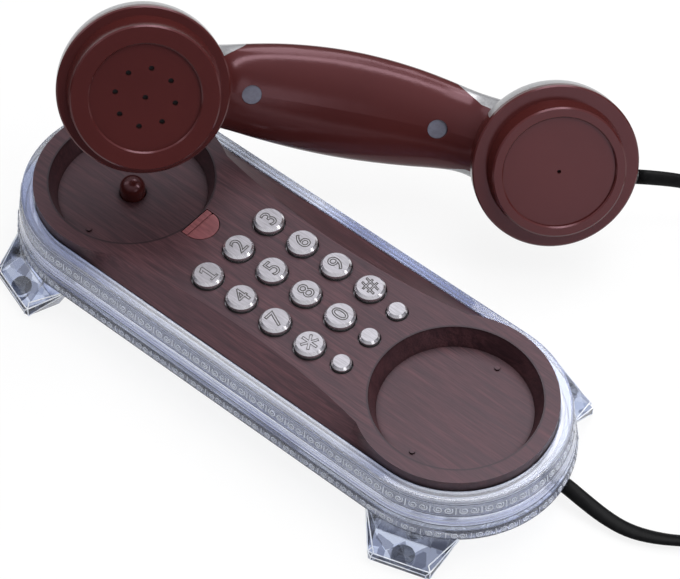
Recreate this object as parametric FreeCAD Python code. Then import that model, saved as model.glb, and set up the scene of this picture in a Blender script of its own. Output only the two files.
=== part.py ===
import FreeCAD, Part
import itertools
import math
import os

V = FreeCAD.Vector

# Brown top plate: two handset cups joined by a waisted deck that holds the keys
CUP_SPACING = 145.0
CUP_RIM_RADIUS = 28.97
CUP_FLOOR_RADIUS = 26.2
CUP_DEPTH = 7.43
CUP_FLOOR_THICKNESS = 2.0
PIP_RADIUS = 0.9
PIP_HEIGHT = 0.6
PIP_OFFSET = 22.3
PLATE_HALF_WIDTH = 34.4
PLATE_RISE = 4.5
DECK_THICKNESS = 2.4
WAIST_HALF_WIDTH = 24.2
WAIST_END_ANGLE = 122.0
BAY_HALF_WIDTH = 25.0
BAY_START_X = -31.4
BAY_END_X = 41.3

# Clear surround and tray
FOOT_HEIGHT = 11.8
SHELL_HEIGHT = 17.5
FLANGE_WIDTH = 4.15
SHELL_FLARE = 2.6
SHELL_WALL = 3.0
SHELL_EDGE_CHAMFER = 0.5
FLANGE_THICKNESS = 3.0
SEAM_DROP = 13.5
PLATE_GAP = 0.25
TRAY_FLOOR = 2.5
LIP_HEIGHT = 2.0
LIP_WALL = 1.5
LIP_GAP = 0.6

# Faceted feet, measured outward from the cup centre along each foot's own direction
FOOT_ANGLE = 72.0
TOE_REACH = 50.2
TOE_HALF_WIDTH = 10.6
TOE_HEIGHT = 4.5
TOE_BEVEL_REACH = 1.2
TOE_BEVEL_DROP = 0.9
KNEE_REACH = 43.2
KNEE_HALF_WIDTH = 7.2
KNEE_HEIGHT = 9.9
HEEL_REACH = 37.5
HEEL_HALF_WIDTH = 11.5
ROOT_REACH = 35.5
ROOT_HALF_WIDTH = 17.5
TOP_REACH = 39.0
PAD_REACH = 44.6
PAD_RADIUS = 3.85
PAD_THICKNESS = 2.6
PAD_PROUD = 0.8
PAD_GAP = 0.1

# Silver inner pan, ballast, ringer and line socket
PAN_GAP = 1.5
PAN_WALL = 1.8
PAN_FLOOR = 1.8
BALLAST_LENGTH = 60.0
BALLAST_WIDTH = 36.0
BALLAST_THICKNESS = 4.2
RINGER_RADIUS = 11.0
RINGER_HEIGHT = 5.6
RINGER_OFFSET = -8.0
RINGER_PORT_RADIUS = 1.5
JACK_WIDTH = 12.6
JACK_DEPTH = 13.0
JACK_HEIGHT = 7.9
JACK_PORT_WIDTH = 9.8
JACK_PORT_HEIGHT = 5.6
JACK_PORT_DEPTH = 11.0
JACK_SETBACK = 1.2
JACK_GAP = 0.2

# Case screws from under the tray up into the plate
SCREW_X = 47.0
SCREW_INSET = 5.4
SCREW_SHANK_RADIUS = 1.5
SCREW_HEAD_RADIUS = 2.8
SCREW_HEAD_HEIGHT = 1.6
SCREW_BITE = 3.0
SCREW_SLOT_WIDTH = 0.9
SCREW_SLOT_DEPTH = 0.7
SCREW_GAP = 0.1
POST_RADIUS = 3.6

# Keys
KEY_PITCH_X = 15.126
KEY_PITCH_Y = 15.634
KEY_FIRST_X = -22.79
KEY_BODY_RADIUS = 5.3
KEY_TOP_RADIUS = 4.5
KEY_PROUD = 2.6
KEY_EDGE = 0.9
SMALL_KEY_X = 35.44
SMALL_KEY_PITCH = 14.363
SMALL_KEY_RADIUS = 3.5
SMALL_KEY_TOP_RADIUS = 2.8
SMALL_KEY_PROUD = 2.0
KEY_GAP = 0.45
KEY_SKIRT = 1.1
KEY_SKIRT_HEIGHT = 1.0
KEY_SKIRT_GAP = 0.3
KEY_STEM_RADIUS = 2.2
KEY_STEM_LENGTH = 1.2
KEY_TRAVEL = 1.5
KEY_SPARE = 0.3
DOME_RADIUS = 2.5
DOME_HEIGHT = 1.2
MAT_THICKNESS = 1.0
MAT_MARGIN = 1.4
BOARD_THICKNESS = 1.6
BOARD_MARGIN = 0.5
BOARD_POST_RADIUS = 1.8
BOARD_POST_INSET = 3.4
BOARD_POST_GAP = 0.3
BOARD_SCREW_RADIUS = 0.9
BOARD_SCREW_HEAD_RADIUS = 1.8
BOARD_SCREW_HEAD_HEIGHT = 1.2
BOARD_SCREW_BITE = 4.0

# Hook plunger, its spring and switch
PLUNGER_RADIUS = 4.5
PLUNGER_PROUD = 7.0
PLUNGER_GAP = 0.3
PLUNGER_SKIRT_RADIUS = 6.4
PLUNGER_SKIRT_HEIGHT = 1.0
PLUNGER_SKIRT_GAP = 0.3
PLUNGER_STUB_RADIUS = 2.2
PLUNGER_STUB_LENGTH = 1.4
PLUNGER_TRAVEL = 3.0
SPRING_WIRE = 0.6
SPRING_RADIUS = 3.4
SPRING_TURNS = 4
SPRING_SEAT_GAP = 0.15
SWITCH_LENGTH = 9.0
SWITCH_WIDTH = 6.0
SWITCH_HEIGHT = 3.0
SWITCH_BUTTON_RADIUS = 0.8
SWITCH_GAP = 0.3

# D-shaped retainer tab
TAB_EDGE_X = 29.4
TAB_LENGTH = 9.2
TAB_HALF_WIDTH = 6.4
TAB_THICKNESS = 6.0
TAB_GAP = 0.3
TAB_GROOVE_OFFSET = 2.6
TAB_GROOVE_WIDTH = 0.7
TAB_GROOVE_DEPTH = 0.6

# Handset, drawn lying in the cups with its caps facing down and the rim plane at zero
RIM_RADIUS = 29.26
RIM_THICKNESS = 2.4
EAR_RING_RADIUS = 25.15
EAR_RING_HEIGHT = 8.95
EAR_RECESS_RADIUS = 18.69
MOUTH_RING_RADIUS = 23.34
MOUTH_RING_HEIGHT = 6.52
MOUTH_RECESS_RADIUS = 19.65
RING_DRAFT = 0.9
RECESS_DEPTH = 1.2
CAP_EDGE = 0.5
CAP_WALL = 2.2
CAP_SPIGOT = 3.0
CAP_SPIGOT_GAP = 0.3
EAR_HOLE_RADIUS = 0.95
EAR_HOLE_CIRCLE = 10.2
EAR_HOLE_COUNT = 8
MOUTH_HOLE_RADIUS = 0.7
HANDSET_WALL = 2.2
BACK_GAP = 0.5
BACK_RADIUS = 29.0
BACK_SHOULDER_RADIUS = 20.5
BACK_SHOULDER_HEIGHT = 20.0
BACK_TOP = 26.0
HANDLE_SECTIONS = ((0.0, 19.2, 21.0, 37.0), (20.0, 18.15, 20.45, 35.9), (30.0, 16.9, 19.6, 34.6),
                   (38.0, 15.6, 18.3, 33.0), (47.0, 14.7, 13.2, 30.0), (60.0, 14.0, 6.0, 26.5))
HANDSET_SEAM_X = 38.0
HANDSET_SPLIT_Z = 26.0
NECK_HALF_WIDTH = 12.0
NECK_START_X = 46.0
NECK_START_Z = 21.0
NECK_END_X = 56.0
NECK_END_Z = 15.0
PLUG_X = 33.2
PLUG_RADIUS = 3.4
PLUG_THICKNESS = 1.8
PLUG_SINK = 0.3
PLUG_GAP = 0.1
PLUG_SEAT_Z = 19.4
HANDSET_POST_RADIUS = 4.8
HANDSET_SCREW_RADIUS = 1.2
HANDSET_SCREW_HEAD_RADIUS = 2.3
HANDSET_SCREW_HEAD_HEIGHT = 1.6
HANDSET_SCREW_BITE = 4.0
RECEIVER_RADIUS = 15.0
RECEIVER_HEIGHT = 9.0
MICROPHONE_RADIUS = 4.85
MICROPHONE_HEIGHT = 6.5
WEIGHT_LENGTH = 38.0
WEIGHT_WIDTH = 12.0
WEIGHT_THICKNESS = 7.0
WEIGHT_SEAT_Z = 23.9
GROMMET_RADIUS = 2.7
GROMMET_Z = 6.2
GROMMET_LENGTH = 3.8
GROMMET_PROUD = 1.6

# Where the handset hangs in the air, lifted and turned face up
HANDSET_X = -11.75
HANDSET_Y = 47.05
HANDSET_Z = 63.56
HANDSET_ALONG = V(0.739, 0.621, -0.262)
HANDSET_FACING = V(0.653, -0.563, 0.506)

# Black handset cord
CORD_RADIUS = 2.2
GLAND_LENGTH = 16.0
GLAND_WIDTH = 9.0
GLAND_HEIGHT = 7.4
GLAND_END_X = 101.0
GLAND_SPIGOT_RADIUS = 2.5
GLAND_SPIGOT_HEIGHT = 2.0
CORD_EXIT_Y = 11.2
CORD_EXIT_Z = 7.0
CURL_CENTRE_X = 123.0
CURL_CENTRE_Y = 84.0
CURL_BEND_RADIUS = 66.0
CURL_START_ANGLE = -42.0
CURL_END_ANGLE = 88.0
CURL_RADIUS = 5.2
CURL_TURNS = 24
CURL_EASE_TURNS = 1.5
CURL_EASE_STRETCH = 2.4
CURL_FLOOR_GAP = 0.3
CURL_STEPS_PER_TURN = 4
TAIL_RUN = 10.0

# Levels and lines that follow from the sizes above
CUP_X = CUP_SPACING / 2
SHELL_TOP_HALF_WIDTH = PLATE_HALF_WIDTH + PLATE_GAP + FLANGE_WIDTH
FLANGE_Z = FOOT_HEIGHT + SHELL_HEIGHT
SEAM_Z = FLANGE_Z - SEAM_DROP
PLATE_Z = FLANGE_Z + PLATE_RISE
DECK_UNDER_Z = PLATE_Z - DECK_THICKNESS
CUP_FLOOR_Z = PLATE_Z - CUP_DEPTH
PLATE_BOTTOM_Z = CUP_FLOOR_Z - CUP_FLOOR_THICKNESS
TRAY_TOP_Z = FOOT_HEIGHT + TRAY_FLOOR
PAN_TOP_Z = TRAY_TOP_Z + PAN_FLOOR
KEY_SKIRT_TOP_Z = DECK_UNDER_Z - KEY_SKIRT_GAP
KEY_STEM_BOTTOM_Z = KEY_SKIRT_TOP_Z - KEY_SKIRT_HEIGHT - KEY_STEM_LENGTH
DOME_TOP_Z = KEY_STEM_BOTTOM_Z - KEY_TRAVEL - KEY_SPARE
MAT_TOP_Z = DOME_TOP_Z - DOME_HEIGHT
BOARD_TOP_Z = MAT_TOP_Z - MAT_THICKNESS
BOARD_BOTTOM_Z = BOARD_TOP_Z - BOARD_THICKNESS
KEY_ROWS = [KEY_FIRST_X + row * KEY_PITCH_X for row in range(4)]
BOARD_POST_Y = BAY_HALF_WIDTH - BOARD_POST_INSET
BOARD_POSTS = [V(x, side * BOARD_POST_Y, 0) for side in (-1, 1)
               for x in ((KEY_ROWS[0] + KEY_ROWS[1]) / 2, (KEY_ROWS[2] + KEY_ROWS[3]) / 2)]
SCREW_Y = PLATE_HALF_WIDTH - SCREW_INSET
CASE_SCREWS = [V(end * SCREW_X, side * SCREW_Y, 0) for end in (-1, 1) for side in (-1, 1)]
PLUNGER_SKIRT_TOP_Z = PLATE_BOTTOM_Z - PLUNGER_SKIRT_GAP
PLUNGER_SKIRT_BOTTOM_Z = PLUNGER_SKIRT_TOP_Z - PLUNGER_SKIRT_HEIGHT
CORD_FLOOR_Z = CORD_RADIUS + CURL_FLOOR_GAP
EPS = 0.01
DEEP = 60.0


def half_width(z):
    """Half the width of the flared clear surround at height z."""
    return SHELL_TOP_HALF_WIDTH + SHELL_FLARE * (FLANGE_Z - z) / SHELL_HEIGHT


def lip_half_width():
    """Half the width of the tray's lip, which fits inside the surround."""
    return half_width(SEAM_Z) - SHELL_WALL - LIP_GAP


def arc(a, b, c):
    return Part.Arc(a, b, c).toShape()


def stadium(half, z):
    """Closed outline: half circles about the two cup centres, joined by straight sides."""
    right = arc(V(CUP_X, -half, z), V(CUP_X + half, 0, z), V(CUP_X, half, z))
    far = Part.makeLine(V(CUP_X, half, z), V(-CUP_X, half, z))
    left = arc(V(-CUP_X, half, z), V(-CUP_X - half, 0, z), V(-CUP_X, -half, z))
    near = Part.makeLine(V(-CUP_X, -half, z), V(CUP_X, -half, z))
    return Part.Wire([right, far, left, near])


def stadium_block(half_low, low, half_high, high):
    """Solid between two such outlines at two heights."""
    return Part.makeLoft([stadium(half_low, low), stadium(half_high, high)], True, True)


def rod(radius, low, high, x=0.0, y=0.0):
    return Part.makeCylinder(radius, high - low, V(x, y, low))


def box(x0, x1, y0, y1, z0, z1):
    return Part.makeBox(x1 - x0, y1 - y0, z1 - z0, V(x0, y0, z0))


def turned(profile, x=0.0):
    """Solid of revolution about the vertical through x, from (radius, height) corners."""
    corners = [V(x + r, 0, z) for r, z in profile]
    wire = Part.makePolygon(corners + corners[:1])
    return Part.Face(wire).revolve(V(x, 0, 0), V(0, 0, 1), 360)


def joined(shapes):
    return shapes[0].multiFuse(shapes[1:]).removeSplitter()


def faceted_block(points):
    """Solid whose flat facets lie on every outer plane through the given corners."""
    facets = {}
    for trio in itertools.combinations(range(len(points)), 3):
        a, b, c = (points[i] for i in trio)
        normal = (b - a).cross(c - a)
        if normal.Length < EPS:
            continue
        normal.normalize()
        heights = [(p - a).dot(normal) for p in points]
        if max(heights) > EPS and min(heights) < -EPS:
            continue
        corners = [i for i, h in enumerate(heights) if abs(h) <= EPS]
        facets[tuple(corners)] = normal
    faces = []
    for corners, normal in facets.items():
        ring = [points[i] for i in corners]
        middle = V()
        for p in ring:
            middle = middle + p / len(ring)
        first = (ring[0] - middle).normalize()
        second = normal.cross(first)
        ring.sort(key=lambda p: math.atan2((p - middle).dot(second), (p - middle).dot(first)))
        faces.append(Part.Face(Part.makePolygon(ring + ring[:1])))
    solid = Part.Solid(Part.Shell(faces))
    if solid.Volume < 0:
        solid.reverse()
    return solid


def arc_from(start, tangent, end):
    """Arc that leaves start along tangent and ends at end."""
    chord = end - start
    inward = chord - tangent * chord.dot(tangent)
    if inward.Length < EPS * EPS:
        return Part.makeLine(start, end)
    inward.normalize()
    radius = chord.dot(chord) / (2 * chord.dot(inward))
    centre = start + inward * radius
    outward = start + chord / 2 - centre
    return arc(start, centre + outward.normalize() * radius, end)


def biarc(start, start_tangent, end, end_tangent):
    """Two tangent arcs that join two points with the given directions."""
    span = end - start
    both = start_tangent + end_tangent
    spread = 2 * (1 - start_tangent.dot(end_tangent))
    reach = (-span.dot(both) + math.sqrt(span.dot(both) ** 2 + spread * span.dot(span))) / spread
    joint = (start + start_tangent * reach + end - end_tangent * reach) / 2
    first = arc_from(start, start_tangent, joint)
    last = arc_from(end, end_tangent * -1, joint)
    last.reverse()
    return [first, last]


def winding(name, point_at, turns, steps_per_turn, wire_radius, lead):
    """One unbroken tube along a wound line, with a straight lead at each end."""
    count = turns * steps_per_turn
    nudge = 1e-4

    def direction(t):
        return (point_at(min(t + nudge, turns)) - point_at(max(t - nudge, 0))).normalize()

    stations = [turns * i / count for i in range(count + 1)]
    points = [point_at(t) for t in stations]
    tangents = [direction(t) for t in stations]
    edges = [Part.makeLine(points[0] - tangents[0] * lead, points[0])]
    for i in range(count):
        edges += biarc(points[i], tangents[i], points[i + 1], tangents[i + 1])
    edges.append(Part.makeLine(points[-1], points[-1] + tangents[-1] * lead))
    path = Part.Wire(edges)
    ring = Part.Wire(Part.makeCircle(wire_radius, points[0] - tangents[0] * lead, tangents[0]))
    tube = path.makePipeShell([ring], True, False)
    samples = path.discretize(Number=count * 6)
    apart = int(math.ceil(4 * wire_radius * len(samples) / path.Length * math.pi / 2))
    near = min((samples[i] - samples[j]).Length for i in range(len(samples))
               for j in range(i + apart, min(i + 12 * apart, len(samples))))
    bends = [edge.Curve.Radius for edge in edges if hasattr(edge.Curve, "Radius")]
    print(name, "length", round(path.Length, 1), "least gap to itself", round(near - 2 * wire_radius, 2),
          "tightest bend", round(min(bends), 2))
    ends = (points[0] - tangents[0] * lead, tangents[0], points[-1] + tangents[-1] * lead, tangents[-1])
    return tube, ends


def cord_tube(name, points, radius):
    """Tube of straight runs joined by the largest tangent arcs that the runs allow."""
    runs = [(b - a).Length for a, b in zip(points, points[1:])]
    edges = []
    last = points[0]
    radii = []
    for i in range(1, len(points) - 1):
        back = (points[i - 1] - points[i]).normalize()
        ahead = (points[i + 1] - points[i]).normalize()
        turn = math.pi - back.getAngle(ahead)
        set_back = 0.45 * min(runs[i - 1], runs[i])
        bend = set_back / math.tan(turn / 2)
        radii.append(round(bend, 1))
        start = points[i] + back * set_back
        end = points[i] + ahead * set_back
        middle = (back + ahead).normalize()
        to_arc = bend / math.cos(turn / 2) - bend
        edges.append(Part.makeLine(last, start))
        edges.append(arc(start, points[i] + middle * to_arc, end))
        last = end
    edges.append(Part.makeLine(last, points[-1]))
    path = Part.Wire(edges)
    ring = Part.Wire(Part.makeCircle(radius, points[0], points[1] - points[0]))
    tube = path.makePipeShell([ring], True, False)
    ideal = math.pi * radius ** 2 * path.Length
    share = round(tube.Volume / ideal, 4)
    print(name, "length", round(path.Length, 1), "radii", radii, "volume share", share)
    return tube


def save(node, shape):
    shape.exportStep("parts/" + node + ".step")
    print(node, len(shape.Solids), "solids", round(shape.Volume, 1), "mm3", "valid", shape.isValid())


def deck_outline(z, waisted):
    """Plate outline in eight stretches, with straight sides or with the drawn-in waist."""
    r = PLATE_HALF_WIDTH
    angle = math.radians(WAIST_END_ANGLE)
    middle_angle = math.radians((90 + WAIST_END_ANGLE) / 2)
    neck_x = CUP_X + r * math.cos(angle)
    neck_y = r * math.sin(angle) if waisted else r
    edges = []
    for turn in (1, -1):
        start = V(turn * CUP_X, -turn * r, z)
        end = V(turn * CUP_X, turn * r, z)
        edges.append(arc(start, V(turn * (CUP_X + r), 0, z), end))
        neck = V(turn * neck_x, turn * neck_y, z)
        far_neck = V(-turn * neck_x, turn * neck_y, z)
        far_end = V(-turn * CUP_X, turn * r, z)
        if waisted:
            shoulder_x = CUP_X + r * math.cos(middle_angle)
            shoulder_y = r * math.sin(middle_angle)
            edges.append(arc(end, V(turn * shoulder_x, turn * shoulder_y, z), neck))
            edges.append(arc(neck, V(0, turn * WAIST_HALF_WIDTH, z), far_neck))
            edges.append(arc(far_neck, V(-turn * shoulder_x, turn * shoulder_y, z), far_end))
        else:
            edges.append(Part.makeLine(end, neck))
            edges.append(Part.makeLine(neck, far_neck))
            edges.append(Part.makeLine(far_neck, far_end))
    return Part.Wire(edges)


def tab_outline(grow, low, high):
    """D shape of the retainer: straight edge along the cup, round edge towards the keys."""
    edge = -CUP_X + TAB_EDGE_X - grow
    tip = -CUP_X + TAB_EDGE_X + TAB_LENGTH + grow
    half = TAB_HALF_WIDTH + grow
    side = tip - half
    corners = [V(edge, -half, low), V(side, -half, low), V(tip, 0, low),
               V(side, half, low), V(edge, half, low)]
    wire = Part.Wire([Part.makeLine(corners[0], corners[1]), arc(*corners[1:4]),
                      Part.makeLine(corners[3], corners[4]), Part.makeLine(corners[4], corners[0])])
    return Part.Face(wire).extrude(V(0, 0, high - low))


def make_top_plate():
    deck = Part.makeLoft([deck_outline(FLANGE_Z, False), deck_outline(PLATE_Z, True)], True, True)
    outline = Part.Face(deck_outline(PLATE_BOTTOM_Z, False))
    plate = outline.extrude(V(0, 0, FLANGE_Z - PLATE_BOTTOM_Z)).fuse(deck)
    for end in (-1, 1):
        slope = (CUP_RIM_RADIUS - CUP_FLOOR_RADIUS) / CUP_DEPTH
        foot = V(end * CUP_X, 0, CUP_FLOOR_Z)
        plate = plate.cut(Part.makeCone(CUP_FLOOR_RADIUS, CUP_RIM_RADIUS + slope, CUP_DEPTH + 1, foot))
    bay = box(BAY_START_X, BAY_END_X, -BAY_HALF_WIDTH, BAY_HALF_WIDTH, PLATE_BOTTOM_Z - 1, DECK_UNDER_Z)
    plate = plate.cut(bay)
    posts = [rod(BOARD_POST_RADIUS, BOARD_TOP_Z, DECK_UNDER_Z + EPS, p.x, p.y) for p in BOARD_POSTS]
    pips = [rod(PIP_RADIUS, CUP_FLOOR_Z - EPS, CUP_FLOOR_Z + PIP_HEIGHT, end * CUP_X, side * PIP_OFFSET)
            for end in (-1, 1) for side in (-1, 1)]
    plate = plate.multiFuse(posts + pips)
    cuts = [rod(KEY_BODY_RADIUS + KEY_GAP, DECK_UNDER_Z - 1, PLATE_Z + 1, x, column * KEY_PITCH_Y)
            for x in KEY_ROWS for column in (-1, 0, 1)]
    cuts += [rod(SMALL_KEY_RADIUS + KEY_GAP, DECK_UNDER_Z - 1, PLATE_Z + 1, SMALL_KEY_X,
                 column * SMALL_KEY_PITCH) for column in (-1, 0, 1)]
    cuts.append(rod(PLUNGER_RADIUS + PLUNGER_GAP, PLATE_BOTTOM_Z - 1, CUP_FLOOR_Z + 1, -CUP_X))
    cuts.append(tab_outline(TAB_GAP, PLATE_Z - TAB_THICKNESS, PLATE_Z + 1))
    screw_end = PLATE_BOTTOM_Z + SCREW_BITE + SCREW_GAP
    cuts += [rod(SCREW_SHANK_RADIUS + SCREW_GAP, PLATE_BOTTOM_Z - 1, screw_end, p.x, p.y)
             for p in CASE_SCREWS]
    board_screw_end = BOARD_TOP_Z + BOARD_SCREW_BITE + SCREW_GAP
    cuts += [rod(BOARD_SCREW_RADIUS + SCREW_GAP, BOARD_TOP_Z - 1, board_screw_end, p.x, p.y)
             for p in BOARD_POSTS]
    return plate.cut(Part.makeCompound(cuts))


def jack_box(grow):
    """Space of the line socket at the earpiece end, set a little inside the outer wall."""
    face = -CUP_X - half_width(TRAY_TOP_Z) + JACK_SETBACK
    half = JACK_WIDTH / 2 + grow
    return box(face, face + JACK_DEPTH + grow, -half, half, PAN_TOP_Z, PAN_TOP_Z + JACK_HEIGHT + grow)


def jack_window():
    """Opening through the walls in front of the line socket."""
    face = -CUP_X - half_width(TRAY_TOP_Z) + JACK_SETBACK
    half = JACK_WIDTH / 2 + JACK_GAP
    return box(face - DEEP, face + JACK_DEPTH, -half, half, PAN_TOP_Z, PAN_TOP_Z + JACK_HEIGHT + JACK_GAP)


def make_shell_ring():
    body = stadium_block(half_width(SEAM_Z), SEAM_Z, half_width(FLANGE_Z), FLANGE_Z)
    rim = [e for e in body.Edges if e.BoundBox.ZMin > FLANGE_Z - EPS]
    body = body.makeChamfer(SHELL_EDGE_CHAMFER, rim)
    ceiling = FLANGE_Z - FLANGE_THICKNESS
    hollow = stadium_block(half_width(SEAM_Z) - SHELL_WALL, SEAM_Z, half_width(ceiling) - SHELL_WALL, ceiling)
    well = stadium_block(PLATE_HALF_WIDTH + PLATE_GAP, SEAM_Z - 1, PLATE_HALF_WIDTH + PLATE_GAP, FLANGE_Z + 1)
    return body.cut(hollow).cut(well).cut(jack_window())


def foot_frame(end, side):
    angle = math.radians(FOOT_ANGLE)
    along = V(end * math.cos(angle), side * math.sin(angle), 0)
    return V(end * CUP_X, 0, 0), along, V(-along.y, along.x, 0)


def make_foot(end, side):
    centre, along, across = foot_frame(end, side)
    toe_top = PAD_PROUD + TOE_HEIGHT
    slope = (KNEE_HEIGHT - toe_top) / (TOE_REACH - KNEE_REACH)
    rooted = FOOT_HEIGHT + TRAY_FLOOR / 2
    corners = ((TOE_REACH, TOE_HALF_WIDTH, PAD_PROUD), (TOE_REACH, TOE_HALF_WIDTH, toe_top - TOE_BEVEL_DROP),
               (TOE_REACH - TOE_BEVEL_REACH, TOE_HALF_WIDTH - TOE_BEVEL_REACH,
                toe_top + slope * TOE_BEVEL_REACH),
               (KNEE_REACH, KNEE_HALF_WIDTH, KNEE_HEIGHT), (TOP_REACH, KNEE_HALF_WIDTH, rooted),
               (HEEL_REACH, HEEL_HALF_WIDTH, PAD_PROUD), (ROOT_REACH, ROOT_HALF_WIDTH, rooted))
    points = [centre + along * reach + across * (half * mirror) + V(0, 0, z)
              for reach, half, z in corners for mirror in (-1, 1)]
    return faceted_block(points)


def pad_place(end, side):
    centre, along, _ = foot_frame(end, side)
    return centre + along * PAD_REACH


FOOT_SIDES = [(end, side) for end in (-1, 1) for side in (-1, 1)]


def make_bottom_tray():
    body = stadium_block(half_width(FOOT_HEIGHT), FOOT_HEIGHT, half_width(SEAM_Z), SEAM_Z)
    lip_outer = lip_half_width()
    lip = stadium_block(lip_outer, TRAY_TOP_Z, lip_outer, SEAM_Z + LIP_HEIGHT)
    feet = [make_foot(end, side) for end, side in FOOT_SIDES]
    tray = joined([body, lip] + feet)
    hollow_half = lip_outer - LIP_WALL
    tray = tray.cut(stadium_block(hollow_half, TRAY_TOP_Z, hollow_half, FLANGE_Z))
    cuts = [jack_window()]
    for end, side in FOOT_SIDES:
        place = pad_place(end, side)
        cuts.append(rod(PAD_RADIUS + PAD_GAP, -1, PAD_THICKNESS, place.x, place.y))
    for p in CASE_SCREWS:
        cuts.append(rod(SCREW_SHANK_RADIUS + SCREW_GAP, FOOT_HEIGHT - 1, TRAY_TOP_Z + 1, p.x, p.y))
        head_top = FOOT_HEIGHT + SCREW_HEAD_HEIGHT
        cuts.append(rod(SCREW_HEAD_RADIUS + SCREW_GAP, FOOT_HEIGHT - 1, head_top, p.x, p.y))
    spigot_x = GLAND_END_X - GLAND_LENGTH / 2
    cuts.append(rod(GLAND_SPIGOT_RADIUS, FOOT_HEIGHT - 1, TRAY_TOP_Z + 1, spigot_x, CORD_EXIT_Y))
    return tray.cut(Part.makeCompound(cuts))


def make_foot_pads():
    places = [pad_place(end, side) for end, side in FOOT_SIDES]
    return Part.makeCompound([rod(PAD_RADIUS, 0, PAD_THICKNESS, p.x, p.y) for p in places])


def make_inner_pan():
    outside = lip_half_width() - LIP_WALL - PAN_GAP
    outer = stadium_block(outside, TRAY_TOP_Z, outside, PLATE_BOTTOM_Z)
    inside = outside - PAN_WALL
    pan = outer.cut(stadium_block(inside, PAN_TOP_Z, inside, PLATE_BOTTOM_Z + 1))
    posts = [rod(POST_RADIUS, PAN_TOP_Z - EPS, PLATE_BOTTOM_Z, p.x, p.y) for p in CASE_SCREWS]
    pan = joined([pan] + posts)
    holes = [rod(SCREW_SHANK_RADIUS + SCREW_GAP, TRAY_TOP_Z - 1, PLATE_BOTTOM_Z + 1, p.x, p.y)
             for p in CASE_SCREWS]
    return pan.cut(Part.makeCompound(holes)).cut(jack_window())


def slotted_screw(x, y, head_low, head_radius, head_height, shank_radius, shank_top):
    """Screw with its head down and a straight driver slot."""
    body = joined([rod(head_radius, head_low, head_low + head_height, x, y),
                   rod(shank_radius, head_low + head_height - EPS, shank_top, x, y)])
    half = SCREW_SLOT_WIDTH / 2
    slot = box(x - DEEP, x + DEEP, y - half, y + half, head_low - 1, head_low + SCREW_SLOT_DEPTH)
    return body.cut(slot)


def make_case_screws():
    return Part.makeCompound([slotted_screw(p.x, p.y, FOOT_HEIGHT, SCREW_HEAD_RADIUS, SCREW_HEAD_HEIGHT,
                                            SCREW_SHANK_RADIUS, PLATE_BOTTOM_Z + SCREW_BITE)
                              for p in CASE_SCREWS])


def make_board_screws():
    low = BOARD_BOTTOM_Z - BOARD_SCREW_HEAD_HEIGHT
    return Part.makeCompound([slotted_screw(p.x, p.y, low, BOARD_SCREW_HEAD_RADIUS, BOARD_SCREW_HEAD_HEIGHT,
                                            BOARD_SCREW_RADIUS, BOARD_TOP_Z + BOARD_SCREW_BITE)
                              for p in BOARD_POSTS])


def make_key(x, y, body_radius, top_radius, proud):
    top = PLATE_Z + proud
    skirt_bottom = KEY_SKIRT_TOP_Z - KEY_SKIRT_HEIGHT
    profile = [(0, KEY_STEM_BOTTOM_Z), (KEY_STEM_RADIUS, KEY_STEM_BOTTOM_Z), (KEY_STEM_RADIUS, skirt_bottom),
               (body_radius + KEY_SKIRT, skirt_bottom), (body_radius + KEY_SKIRT, KEY_SKIRT_TOP_Z),
               (body_radius, KEY_SKIRT_TOP_Z), (body_radius, top - KEY_EDGE), (top_radius, top), (0, top)]
    return turned(profile).translated(V(x, y, 0))


def make_key_mat():
    mat = box(BAY_START_X + MAT_MARGIN, BAY_END_X - MAT_MARGIN, -BAY_HALF_WIDTH + MAT_MARGIN,
              BAY_HALF_WIDTH - MAT_MARGIN, BOARD_TOP_Z, MAT_TOP_Z)
    domes = [rod(DOME_RADIUS, MAT_TOP_Z - EPS, DOME_TOP_Z, x, column * KEY_PITCH_Y)
             for x in KEY_ROWS for column in (-1, 0, 1)]
    domes += [rod(DOME_RADIUS, MAT_TOP_Z - EPS, DOME_TOP_Z, SMALL_KEY_X, column * SMALL_KEY_PITCH)
              for column in (-1, 0, 1)]
    holes = [rod(BOARD_POST_RADIUS + BOARD_POST_GAP, BOARD_TOP_Z - 1, MAT_TOP_Z + 1, p.x, p.y)
             for p in BOARD_POSTS]
    return joined([mat] + domes).cut(Part.makeCompound(holes))


def make_main_board():
    board = box(BAY_START_X + BOARD_MARGIN, BAY_END_X - BOARD_MARGIN, -BAY_HALF_WIDTH + BOARD_MARGIN,
                BAY_HALF_WIDTH - BOARD_MARGIN, BOARD_BOTTOM_Z, BOARD_TOP_Z)
    holes = [rod(BOARD_SCREW_RADIUS + SCREW_GAP, BOARD_BOTTOM_Z - 1, BOARD_TOP_Z + 1, p.x, p.y)
             for p in BOARD_POSTS]
    return board.cut(Part.makeCompound(holes))


def make_hook_plunger():
    top = CUP_FLOOR_Z + PLUNGER_PROUD
    stem = rod(PLUNGER_RADIUS, PLUNGER_SKIRT_BOTTOM_Z, top - PLUNGER_RADIUS)
    dome = Part.makeSphere(PLUNGER_RADIUS, V(0, 0, top - PLUNGER_RADIUS))
    skirt = rod(PLUNGER_SKIRT_RADIUS, PLUNGER_SKIRT_BOTTOM_Z, PLUNGER_SKIRT_TOP_Z)
    stub_low = PLUNGER_SKIRT_BOTTOM_Z - PLUNGER_STUB_LENGTH
    stub = rod(PLUNGER_STUB_RADIUS, stub_low, PLUNGER_SKIRT_BOTTOM_Z + EPS)
    return joined([stem, dome, skirt, stub]).translated(V(-CUP_X, 0, 0))


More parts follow.
